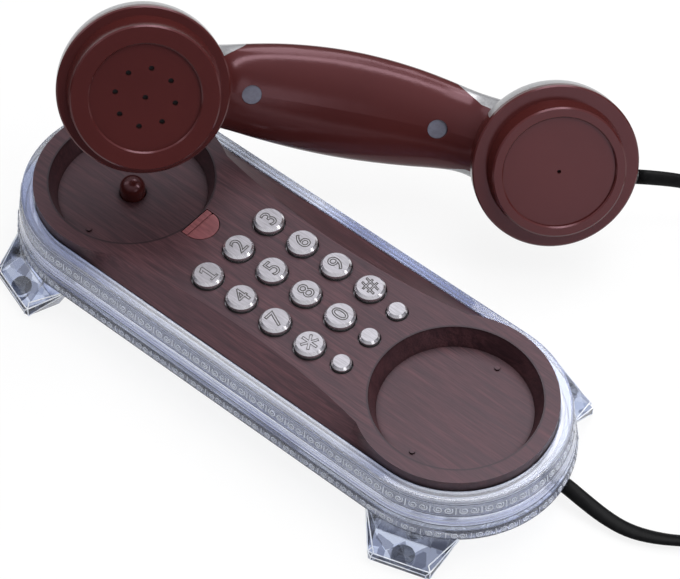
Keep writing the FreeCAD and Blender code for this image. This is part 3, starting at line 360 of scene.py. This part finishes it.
foot_chamfer = 0.0009
highlight_line_radius = 0.00022
highlight_line_floor = 0.002
cut = bmesh.new()
cut.from_mesh(nodes["bottom_tray"].data)
bmesh.ops.remove_doubles(cut, verts=cut.verts, dist=1e-7)
foot_corners = [v for v in cut.verts if on_foot(v)]
foot_set = set(foot_corners)
bmesh.ops.dissolve_limit(cut, angle_limit=math.radians(1), verts=foot_corners,
                         edges=[e for e in cut.edges if e.verts[0] in foot_set and e.verts[1] in foot_set])
sharp = [e for e in cut.edges if all(on_foot(v) for v in e.verts) and is_ridge(e, 15)]
bmesh.ops.bevel(cut, geom=sharp, offset=foot_chamfer, offset_type="OFFSET", segments=1, profile=0.5,
                affect="EDGES", clamp_overlap=True)
# Painted highlights: thin bright tubes along the foot's facet edges stand in for edge glints; the feet have
# no such ridges.
facet_lines = [e for e in cut.edges if any(on_foot(v) for v in e.verts)
               and max(v.co.z for v in e.verts) > highlight_line_floor and is_ridge(e, 12)]
ridge = bpy.data.curves.new("foot_edge_highlights", "CURVE")
ridge.dimensions = "3D"
ridge.bevel_depth = highlight_line_radius
ridge.bevel_resolution = 1
for edge in facet_lines:
    stretch = ridge.splines.new("POLY")
    stretch.points.add(1)
    for point, vertex in zip(stretch.points, edge.verts):
        point.co = (*vertex.co, 1)
polished_edge_highlight = mottled("polished_edge_highlight", scale=150, colours=((0.55, 0.6, 0.75), (0.95, 0.97, 1.0)),
                        stops=(0.35, 0.6), roughness=(0.08, 0.2))
foot_edge_highlights = placed("foot_edge_highlights", meshed(bpy.data.objects.new("foot_edge_highlights_former", ridge)), polished_edge_highlight)
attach(foot_edge_highlights, "base")
crystal_mesh = bpy.data.meshes.new("crystal_tray")
cut.to_mesh(crystal_mesh)
cut.free()
crystal_tray = placed("crystal_tray", crystal_mesh, clear_acrylic)
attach(crystal_tray, "base")
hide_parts("bottom_tray")

# Scroll bands
# Two rows of small raised scroll pairs run round the clear case, one on the surround and one on the tray.
# Each pair is two moulded spiral lines and a bar, on a greyer stippled ground between fine dark mould lines.
scroll_silver = mottled("scroll_silver", scale=300, colours=((0.62, 0.65, 0.74), (0.82, 0.85, 0.93)),
                        roughness=(0.25, 0.4), fixed={"Alpha": 0.75})
band_ground = mottled("band_ground", scale=1400, detail=2.0, stops=(0.35, 0.65),
                      colours=((0.05, 0.052, 0.075), (0.2, 0.21, 0.26)), roughness=(0.3, 0.5),
                      fixed={"Alpha": 0.24}, bump=(0.5, 0.0003))
mould_line = mottled("mould_line", scale=200, colours=((0.03, 0.033, 0.055), (0.07, 0.075, 0.11)),
                     roughness=(0.2, 0.35), fixed={"Alpha": 0.6})

scrolls = bpy.data.node_groups.new("scroll_band", "GeometryNodeTree")
for label, kind in (("Path", "NodeSocketGeometry"), ("Pairs", "NodeSocketInt"),
                    ("Scroll Radius", "NodeSocketFloat"), ("Line Radius", "NodeSocketFloat"),
                    ("Bar Offset", "NodeSocketFloat"), ("Finish", "NodeSocketMaterial")):
    scrolls.interface.new_socket(label, in_out="INPUT", socket_type=kind)
scrolls.interface.new_socket("Band", in_out="OUTPUT", socket_type="NodeSocketGeometry")


def part(kind, **values):
    """One node of the scroll band, with its fixed inputs."""
    node = scrolls.nodes.new(kind)
    for label, value in values.items():
        node.inputs[label.replace("_", " ")].default_value = value
    return node


def wire(source, target):
    """Joins two sockets of the scroll band."""
    scrolls.links.new(source, target)


def radii(share):
    """So many times the radius of a scroll."""
    times = part("ShaderNodeMath")
    times.operation = "MULTIPLY"
    times.inputs[1].default_value = share
    wire(given.outputs["Scroll Radius"], times.inputs[0])
    return times.outputs[0]


wall_lean = 0.148
scroll_apart = 1.06
bar_reach = 0.9
given = part("NodeGroupInput")
made = part("NodeGroupOutput")
ring = part("GeometryNodeMeshToCurve")
spots = part("GeometryNodeCurveToPoints")
spots.mode = "COUNT"
outward = part("ShaderNodeVectorMath")
outward.operation = "CROSS_PRODUCT"
outward.inputs[1].default_value = (0, 0, 1)
lean = part("ShaderNodeVectorMath")
lean.operation = "ADD"
lean.inputs[1].default_value = (0, 0, wall_lean)
facing = part("FunctionNodeAlignRotationToVector")
facing.axis = "Z"
along = part("FunctionNodeAlignRotationToVector")
along.axis = "X"
along.pivot_axis = "Z"
wire(given.outputs["Path"], ring.inputs["Mesh"])
wire(ring.outputs["Curve"], spots.inputs["Curve"])
wire(given.outputs["Pairs"], spots.inputs["Count"])
wire(spots.outputs["Tangent"], outward.inputs[0])
wire(outward.outputs[0], lean.inputs[0])
wire(lean.outputs[0], facing.inputs["Vector"])
wire(facing.outputs[0], along.inputs["Rotation"])
wire(spots.outputs["Tangent"], along.inputs["Vector"])

pair = part("GeometryNodeJoinGeometry")
for mirrored in (False, True):
    curl = part("GeometryNodeCurveSpiral", Resolution=11, Rotations=1.6, Start_Radius=0.0003, Height=0.0,
                Reverse=mirrored)
    wire(given.outputs["Scroll Radius"], curl.inputs["End Radius"])
    offset = part("ShaderNodeCombineXYZ")
    wire(radii(scroll_apart if mirrored else -scroll_apart), offset.inputs["X"])
    turned_in = part("GeometryNodeTransform", Rotation=(0, 0, math.pi if mirrored else 0))
    wire(curl.outputs["Curve"], turned_in.inputs["Geometry"])
    wire(offset.outputs[0], turned_in.inputs["Translation"])
    wire(turned_in.outputs[0], pair.inputs["Geometry"])
bar = part("GeometryNodeCurvePrimitiveLine")
for end, way in (("Start", -bar_reach), ("End", bar_reach)):
    corner = part("ShaderNodeCombineXYZ")
    wire(given.outputs["Bar Offset"], corner.inputs["X"])
    wire(radii(way), corner.inputs["Y"])
    wire(corner.outputs[0], bar.inputs[end])
wire(bar.outputs["Curve"], pair.inputs["Geometry"])

round_line = part("GeometryNodeCurvePrimitiveCircle", Resolution=5)
wire(given.outputs["Line Radius"], round_line.inputs["Radius"])
line = part("GeometryNodeCurveToMesh", Fill_Caps=True)
wire(pair.outputs[0], line.inputs["Curve"])
wire(round_line.outputs["Curve"], line.inputs["Profile Curve"])
row = part("GeometryNodeInstanceOnPoints")
wire(spots.outputs["Points"], row.inputs["Points"])
wire(line.outputs["Mesh"], row.inputs["Instance"])
wire(along.outputs[0], row.inputs["Rotation"])
whole = part("GeometryNodeRealizeInstances")
wire(row.outputs[0], whole.inputs["Geometry"])
paint = part("GeometryNodeSetMaterial")
wire(whole.outputs[0], paint.inputs["Geometry"])
wire(given.outputs["Finish"], paint.inputs["Material"])
wire(paint.outputs[0], made.inputs["Band"])

flange_z = 0.0293
flange_half = 0.0388
wall_flare = 0.0026
wall_drop = 0.0175
bar_offset = 0.0041
band_proud = 0.00004
mould_width = 0.0003


def case_line(drop, count=200):
    """Closed line round the outside of the clear case, so far below its top flange."""
    half = flange_half + wall_flare * drop / wall_drop
    height = flange_z - drop
    straight = 2 * cup_x
    bow = math.pi * half
    points = []
    for i in range(count):
        run = 2 * (straight + bow) * i / count
        if run < straight:
            points.append((-cup_x + run, -half, height))
        elif run < straight + bow:
            bend = (run - straight) / half - math.pi / 2
            points.append((cup_x + half * math.cos(bend), half * math.sin(bend), height))
        elif run < 2 * straight + bow:
            points.append((cup_x - (run - straight - bow), half, height))
        else:
            bend = (run - 2 * straight - bow) / half + math.pi / 2
            points.append((-cup_x + half * math.cos(bend), half * math.sin(bend), height))
    return points


def scroll_row(name, drop, pairs, radius, thick):
    """One row of scroll pairs, as a plain mesh on the base."""
    points = case_line(drop)
    path_mesh = bpy.data.meshes.new(name + "_path")
    path_mesh.from_pydata(points, [(i, (i + 1) % len(points)) for i in range(len(points))], [])
    former = bpy.data.objects.new(name + "_former", path_mesh)
    made_by = former.modifiers.new("scrolls", "NODES")
    made_by.node_group = scrolls
    sockets = {s.name: s.identifier for s in scrolls.interface.items_tree if s.in_out == "INPUT"}
    for label, value in (("Pairs", pairs), ("Scroll Radius", radius), ("Line Radius", thick),
                         ("Bar Offset", bar_offset), ("Finish", scroll_silver)):
        made_by[sockets[label]] = value
    piece = placed(name, meshed(former), scroll_silver)
    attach(piece, "base")


def ground_band(name, top, bottom, finish):
    """Thin band on the outside of the clear case, between two levels below the flange."""
    skin = bmesh.new()
    rounds = []
    for drop, proud in ((top, -band_proud), (top, band_proud), (bottom, band_proud), (bottom, -band_proud)):
        rounds.append([])
        for x, y, z in case_line(drop):
            out = Vector((x - nearest_axis_x(x), y, 0)).normalized()
            rounds[-1].append(skin.verts.new(Vector((x, y, z)) + out * proud))
    for upper, lower in zip(rounds, rounds[1:] + rounds[:1]):
        for i in range(len(upper)):
            j = (i + 1) % len(upper)
            skin.faces.new((upper[i], lower[i], lower[j], upper[j])).smooth = True
    bmesh.ops.recalc_face_normals(skin, faces=skin.faces)
    mesh = bpy.data.meshes.new(name)
    skin.to_mesh(mesh)
    skin.free()
    piece = placed(name, mesh, finish)
    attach(piece, "base")


scroll_row("upper_scrolls", drop=0.0041, pairs=64, radius=0.00155, thick=0.0002)
scroll_row("lower_scrolls", drop=0.0158, pairs=66, radius=0.00125, thick=0.00018)
ground_band("upper_ground", 0.0018, 0.0064, band_ground)
ground_band("lower_ground", 0.0142, 0.0173, band_ground)
for number, drop in enumerate((0.0013, 0.0066, 0.0112, 0.0138, 0.0174), 1):
    ground_band("mould_line_%d" % number, drop, drop + mould_width, mould_line)

# Silver inner pan
# An opaque inner case with a bright silver coating, which lights up the clear wall around it.
# It sits on the tray floor and carries the top plate.
silver_pan = mottled("silver_pan", scale=40, detail=5.0, colours=((0.6, 0.63, 0.7), (0.78, 0.81, 0.88)),
                     roughness=(0.22, 0.4), fixed={"Metallic": 0.75})
dress(silver_pan, "inner_pan")

# Works inside the pan
# Steel weights, ringer, hook switch, circuit board with its rubber key mat, line socket, screws and bushes.
# Plain workshop finishes; the hook's return spring is wound from round wire.
raw_iron = mottled("raw_iron", scale=400, detail=8.0, colours=((0.05, 0.05, 0.052), (0.11, 0.11, 0.115)),
                   stops=(0.35, 0.65), roughness=(0.55, 0.75), fixed={"Metallic": 0.6}, bump=(0.4, 0.0004))
dress(raw_iron, "ballast", "handset_weight")
black_moulding = mottled("black_moulding", scale=700, colours=((0.012, 0.012, 0.013), (0.022, 0.022, 0.024)),
                         roughness=(0.35, 0.5), bump=(0.15, 0.0002))
dress(black_moulding, "ringer", "hook_switch", "line_jack", "receiver", "microphone", "cord_gland",
      "cord_grommet")
lacquered_board = mottled("lacquered_board", scale=1500, detail=2.0,
                          colours=((0.01, 0.06, 0.025), (0.018, 0.09, 0.04)), roughness=(0.25, 0.4))
dress(lacquered_board, "main_board")
mat_rubber = mottled("mat_rubber", scale=500, colours=((0.3, 0.3, 0.31), (0.38, 0.38, 0.39)),
                     roughness=(0.55, 0.7))
dress(mat_rubber, "key_mat")
bright_steel = mottled("bright_steel", scale=300, detail=3.0, stretch=(1, 1, 12),
                       colours=((0.48, 0.48, 0.47), (0.6, 0.6, 0.59)), roughness=(0.22, 0.38),
                       fixed={"Metallic": 1.0})
dress(bright_steel, "case_screws", "board_screws", "handset_screws")

spring_low, spring_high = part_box("hook_spring")
coils = 4
per_coil = 16
wire_radius = 0.0003
coil_radius = (spring_high[1] - spring_low[1]) / 2 - wire_radius
coil_middle = (spring_low[1] + spring_high[1]) / 2
coil_climb = spring_high[2] - spring_low[2] - 2 * wire_radius
winding = bpy.data.curves.new("return_spring", "CURVE")
winding.dimensions = "3D"
winding.bevel_depth = wire_radius
winding.bevel_resolution = 3
winding.use_fill_caps = True
turns = winding.splines.new("NURBS")
turns.points.add(coils * per_coil)
for i, point in enumerate(turns.points):
    bend = 2 * math.pi * i / per_coil
    point.co = (-cup_x + coil_radius * math.cos(bend), coil_middle + coil_radius * math.sin(bend),
                spring_low[2] + wire_radius + coil_climb * i / (coils * per_coil), 1)
turns.order_u = 3
turns.use_endpoint_u = True
return_spring = placed("return_spring", meshed(bpy.data.objects.new("return_spring_former", winding)),
                       bright_steel)
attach(return_spring, "base")
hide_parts("hook_spring")
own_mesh(return_spring)

# Wood-grain top plate and retainer tab
# Moulded plate with a dark wood-grain print along the base under a satin lacquer; painted shade darkens the
# print and dulls its sheen in the nooks.
# A fine painted shadow line rings each cup; the small D-shaped tab lifts out of its pocket beside the upper
# cup.
lacquer_tint = (1.0, 0.86, 0.98, 1)
cup_shadow_radius = 0.0292
wood_print, tree, shader = new_finish("wood_print")
streaks = speckle(tree, 55, 9.0, (0.6, 9.0, 5.0), 1.2)
pores = speckle(tree, 210, 3.0, (0.5, 14.0, 8.0), 0.4)
grain_tone = shades(tree, streaks, (0.3, (0.028, 0.0108, 0.0135)), (0.5, (0.048, 0.0182, 0.0215)),
                    (0.72, (0.074, 0.0285, 0.0325)))
pore_tone = shades(tree, pores, (0.42, (0.35, 0.32, 0.3)), (0.56, (1, 1, 1)))
wood_tone = mixed(tree, 0.55, grain_tone, pore_tone, "MULTIPLY")
# Painted shade: occlusion within 4 mm darkens the print and lowers its sheen wherever walls, keys or cups
# close in.
nook = tree.nodes.new("ShaderNodeAmbientOcclusion")
nook.samples = 8
nook.inputs["Distance"].default_value = 0.004
openness = between(tree, nook.outputs["AO"], 0.0, 1.0, start=0.5, stop=0.8)
painted_nook_shade_tone = mixed(tree, 1.0, wood_tone, between(tree, openness, 0.2, 1.0), "MULTIPLY")
# Painted shadow: a fine dark ring at a fixed distance from each cup's centre, the same at every height.
from_cup = tree.nodes.new("ShaderNodeCombineXYZ")
tree.links.new(sum_of(tree, "SUBTRACT", sum_of(tree, "ABSOLUTE", axis_of(tree, "Object", "X")), cup_x),
               from_cup.inputs["X"])
tree.links.new(axis_of(tree, "Object", "Y"), from_cup.inputs["Y"])
cup_reach = tree.nodes.new("ShaderNodeVectorMath")
cup_reach.operation = "LENGTH"
tree.links.new(from_cup.outputs[0], cup_reach.inputs[0])
off_shadow_line = sum_of(tree, "ABSOLUTE", sum_of(tree, "SUBTRACT", cup_reach.outputs["Value"], cup_shadow_radius))
cup_shadow_line = between(tree, off_shadow_line, 0.2, 1.0, start=0.0001, stop=0.0006)
tree.links.new(mixed(tree, 1.0, painted_nook_shade_tone, cup_shadow_line, "MULTIPLY"), shader.inputs["Base Color"])
tree.links.new(between(tree, streaks, 0.36, 0.48), shader.inputs["Roughness"])
tree.links.new(between(tree, openness, 0.05, 0.4), shader.inputs["Specular IOR Level"])
shader.inputs["Specular Tint"].default_value = lacquer_tint
relief(tree, shader, pores, strength=0.12, depth=0.0003)
dress(wood_print, "top_plate")
tab_red = mottled("tab_red", scale=120, detail=6.0, stretch=(1.0, 9.0, 5.0), distortion=0.6,
                  colours=((0.1, 0.028, 0.03), (0.2, 0.062, 0.066)), roughness=(0.3, 0.45),
                  fixed={"Specular Tint": lacquer_tint}, bump=(0.15, 0.0003))
dress(tab_red, "handset_retainer")

# Keys
# Twelve number keys and three small keys, plastic plated silver: satin on top and polished at the rim, where
# a painted highlight makes the plating much lighter than on top.
# The figures are fine raised outlines with a darkened edge, and read from the mouthpiece end.
key_silver, tree, shader = new_finish("key_silver")
satin = speckle(tree, 260, 5.0, (1, 10, 1))
flat_top = between(tree, axis_of(tree, "Normal", "Z"), 0.0, 1.0, start=0.9, stop=0.99)
# Painted highlight: rims and sides take a far lighter plating colour than the flat tops of the same metal.
rim_highlight_plating = shades(tree, satin, (0.3, (0.66, 0.64, 0.67)), (0.7, (0.78, 0.76, 0.79)))
top_plating = shades(tree, satin, (0.3, (0.22, 0.214, 0.232)), (0.7, (0.325, 0.315, 0.342)))
tree.links.new(mixed(tree, flat_top, rim_highlight_plating, top_plating), shader.inputs["Base Color"])
tree.links.new(between(tree, flat_top, 0.2, 0.4), shader.inputs["Roughness"])
shader.inputs["Metallic"].default_value = 0.9
key_names = ("1", "2", "3", "4", "5", "6", "7", "8", "9", "star", "0", "hash")
dress(key_silver, *["key_" + name for name in key_names], "key_mute", "key_pause", "key_redial")

figure_edge = mottled("figure_edge", scale=800, colours=((0.05, 0.047, 0.045), (0.09, 0.085, 0.08)),
                      roughness=(0.45, 0.6), fixed={"Metallic": 0.4})
figure_size = 0.0086
figure_line_radius = 0.00019
one_line = ((-0.0004, -0.0025), (-0.0004, 0.002), (-0.0015, 0.0013), (-0.0015, 0.0023), (-0.0001, 0.0031),
            (0.0006, 0.0031), (0.0006, -0.0025), (0.0016, -0.0025), (0.0016, -0.0032), (-0.0014, -0.0032),
            (-0.0014, -0.0025))
arm_half = 0.00042
arm_reach = 0.0031
star_line = []
for arm in range(6):
    bearing = math.radians(60 * arm + 90)
    toward = Vector((math.cos(bearing), math.sin(bearing)))
    beside = Vector((-toward.y, toward.x))
    notch = math.radians(60 * arm + 60)
    star_line.append(Vector((math.cos(notch), math.sin(notch))) * arm_half * 2)
    star_line += [toward * arm_reach - beside * arm_half, toward * arm_reach + beside * arm_half]
drawn_signs = {"1": one_line, "star": star_line}


def figure_mesh(name):
    """Fine raised outline of one key's figure, as a mesh about its own middle."""
    if name in drawn_signs:
        outline = bpy.data.curves.new("figure", "CURVE")
        stroke = outline.splines.new("POLY")
        stroke.points.add(len(drawn_signs[name]) - 1)
        for point, (x, y) in zip(stroke.points, drawn_signs[name]):
            point.co = (x, y, 0, 1)
        stroke.use_cyclic_u = True
        outline.dimensions = "3D"
        outline.fill_mode = "FULL"
    else:
        outline = bpy.data.curves.new("figure", "FONT")
        outline.body = {"hash": "#"}.get(name, name)
        outline.size = figure_size
        outline.resolution_u = 6
        outline.fill_mode = "NONE"
    outline.bevel_depth = figure_line_radius
    outline.bevel_resolution = 1
    mesh = meshed(bpy.data.objects.new("figure", outline))
    corners = [v.co for v in mesh.vertices]
    x, y = [(min(c[k] for c in corners) + max(c[k] for c in corners)) / 2 for k in (0, 1)]
    mesh.transform(Matrix.Translation((-x, -y, 0)))
    return mesh


for name in key_names:
    low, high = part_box("key_" + name)
    figure = figure_mesh(name)
    figure.transform(Matrix.Translation(((low[0] + high[0]) / 2, (low[1] + high[1]) / 2, high[2]))
                     @ Matrix.Rotation(math.pi / 2, 4, "Z"))
    piece = placed("figure_" + name, figure, figure_edge)
    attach(piece, "key_" + name)

# Handset and hook plunger
# Glossy red-brown moulded plastic: the front and middle back of the handle, both caps and the hook plunger.
# The two end covers are painted silver grey, and two grey plugs hide the screws.
brown_gloss, tree, shader = new_finish("brown_gloss")
brown_tone = shades(tree, speckle(tree, 18), (0.3, (0.05, 0.0095, 0.0085)), (0.7, (0.064, 0.0125, 0.011)))
orange_peel = speckle(tree, 500, 2.0)
tree.links.new(brown_tone, shader.inputs["Base Color"])
tree.links.new(between(tree, orange_peel, 0.15, 0.21), shader.inputs["Roughness"])
shader.inputs["Specular IOR Level"].default_value = 0.4
shader.inputs["Specular Tint"].default_value = (1.0, 0.64, 0.74, 1)
relief(tree, shader, orange_peel, strength=0.02, depth=0.0002)
dress(brown_gloss, "handset_front", "handset_back", "ear_cap", "mouth_cap", "hook_plunger")
silver_cover = mottled("silver_cover", scale=1200, detail=2.0, colours=((0.3, 0.3, 0.31), (0.4, 0.4, 0.41)),
                       roughness=(0.25, 0.38), fixed={"Metallic": 0.5})
dress(silver_cover, "ear_back", "mouth_back")
grey_plug = mottled("grey_plug", scale=700, colours=((0.1, 0.1, 0.135), (0.14, 0.14, 0.185)),
                    roughness=(0.35, 0.5))
dress(grey_plug, "screw_plugs")

# Handset cord
# One black sheathed cord from the bush under the tray to the handset: flat at both ends, curled between them.
# The curls are a helix that lies along an arc on the table and eases into the straight ends.
cord_black = mottled("cord_black", scale=600, colours=((0.003, 0.003, 0.0033), (0.006, 0.006, 0.0065)),
                     roughness=(0.35, 0.5), fixed={"Specular IOR Level": 0.07}, bump=(0.1, 0.0002))
curl_turns = 24
curl_steps = 16
curl_radius = 0.0053
ease_turns = 1.5
ease_stretch = 2.4
arc_middle = (0.123, 0.084)
arc_radius = 0.066
arc_start = -42
arc_sweep = 130
table_clearance = 0.0025


def ease_over(share):
    """Smooth rise from zero to one."""
    share = max(0, min(1, share))
    return share * share * (3 - 2 * share)


def curl_advance(t):
    """Pitches along the arc after t turns, looser at both ends."""
    if t > curl_turns / 2:
        return curl_turns + ease_stretch * ease_turns - curl_advance(curl_turns - t)
    near = min(t, ease_turns)
    return t + ease_stretch * (near - near * near / (2 * ease_turns))


route = [(0.101, 0.0112, 0.007), (0.1098, 0.0112, 0.007), (0.1186, 0.0111, 0.0053), (0.1275, 0.0113, 0.0035),
         (0.1364, 0.0123, 0.0028), (0.1452, 0.016, 0.0026), (0.1537, 0.0217, 0.0025),
         (0.16241, 0.02914, 0.0025)]
for i in range(curl_turns * curl_steps + 1):
    t = i / curl_steps
    angle = math.radians(arc_start + arc_sweep * curl_advance(t) / curl_advance(curl_turns))
    radius = curl_radius * ease_over(min(t, curl_turns - t) / ease_turns)
    reach = arc_radius + radius * math.cos(2 * math.pi * t)
    route.append((arc_middle[0] + reach * math.cos(angle), arc_middle[1] + reach * math.sin(angle),
                  table_clearance + radius + radius * math.sin(2 * math.pi * t)))
route += [(0.11091, 0.15046, 0.0025), (0.1008, 0.149, 0.0065), (0.0915, 0.1444, 0.014),
          (0.0833, 0.1375, 0.0219), (0.0756, 0.1293, 0.0281), (0.06777, 0.12077, 0.0326),
          (0.060377, 0.114555, 0.033415)]
route_curve = bpy.data.curves.new("cord_route", "CURVE")
route_curve.dimensions = "3D"
spline = route_curve.splines.new("NURBS")
spline.points.add(len(route) - 1)
for point, place in zip(spline.points, route):
    point.co = (*place, 1)
spline.order_u = 3
spline.use_endpoint_u = True
spline.resolution_u = 4
path = [v.co.copy() for v in meshed(bpy.data.objects.new("cord_route", route_curve)).vertices]
path = [p for i, p in enumerate(path) if i == 0 or (p - path[i - 1]).length > 1e-4]
travelled = [0.0]
for a, b in zip(path, path[1:]):
    travelled.append(travelled[-1] + (b - a).length)
cord_length = travelled[-1]

base_tail = 0.086
handset_tail = 0.096
last_straight = 0.05
flat_half_width = 0.0027
flat_half_thickness = 0.0014
round_half = 0.0022
around = 14
first_turn = math.radians(31)
table_turn = math.radians(-53)
handset_turn = math.radians(-40)
handset_side = Vector((0.17, -0.55, -0.82))
curled_length = cord_length - base_tail - handset_tail
headings = [(path[min(i + 1, len(path) - 1)] - path[max(i - 1, 0)]).normalized() for i in range(len(path))]
across = Vector((0, 0, 1)).cross(headings[0])
sides = []
for heading in headings:
    across = (across - heading * across.dot(heading)).normalized()
    sides.append(across.copy())
last_side = (handset_side - headings[-1] * handset_side.dot(headings[-1])).normalized()
last_turn = math.atan2(headings[-1].dot(across.cross(last_side)), across.dot(last_side))
sheath = bmesh.new()
rims = []
for p, heading, across, run in zip(path, headings, sides, travelled):
    left = cord_length - run
    roundness = min(1, run / base_tail, left / handset_tail) ** 3
    wide = flat_half_width + (round_half - flat_half_width) * roundness
    thin = flat_half_thickness + (round_half - flat_half_thickness) * roundness
    twist = first_turn + (table_turn - first_turn) * ease_over(run / base_tail)
    twist += (last_turn + handset_turn - table_turn) * ease_over((run - base_tail) / curled_length)
    twist -= handset_turn * ease_over(1 - left / last_straight)
    side = Matrix.Rotation(twist, 3, heading) @ across
    over = heading.cross(side)
    rims.append([sheath.verts.new(p + side * wide * math.cos(2 * math.pi * k / around)
                                  + over * thin * math.sin(2 * math.pi * k / around)) for k in range(around)])
for low_rim, high_rim in zip(rims, rims[1:]):
    for k in range(around):
        j = (k + 1) % around
        sheath.faces.new((low_rim[k], low_rim[j], high_rim[j], high_rim[k])).smooth = True
sheath.faces.new(list(reversed(rims[0])))
sheath.faces.new(rims[-1])
cord_mesh = bpy.data.meshes.new("handset_cord")
sheath.to_mesh(cord_mesh)
sheath.free()
handset_cord = placed("handset_cord", cord_mesh, cord_black)
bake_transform(handset_cord)
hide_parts("cord_base_tail", "cord_curls", "cord_handset_tail")
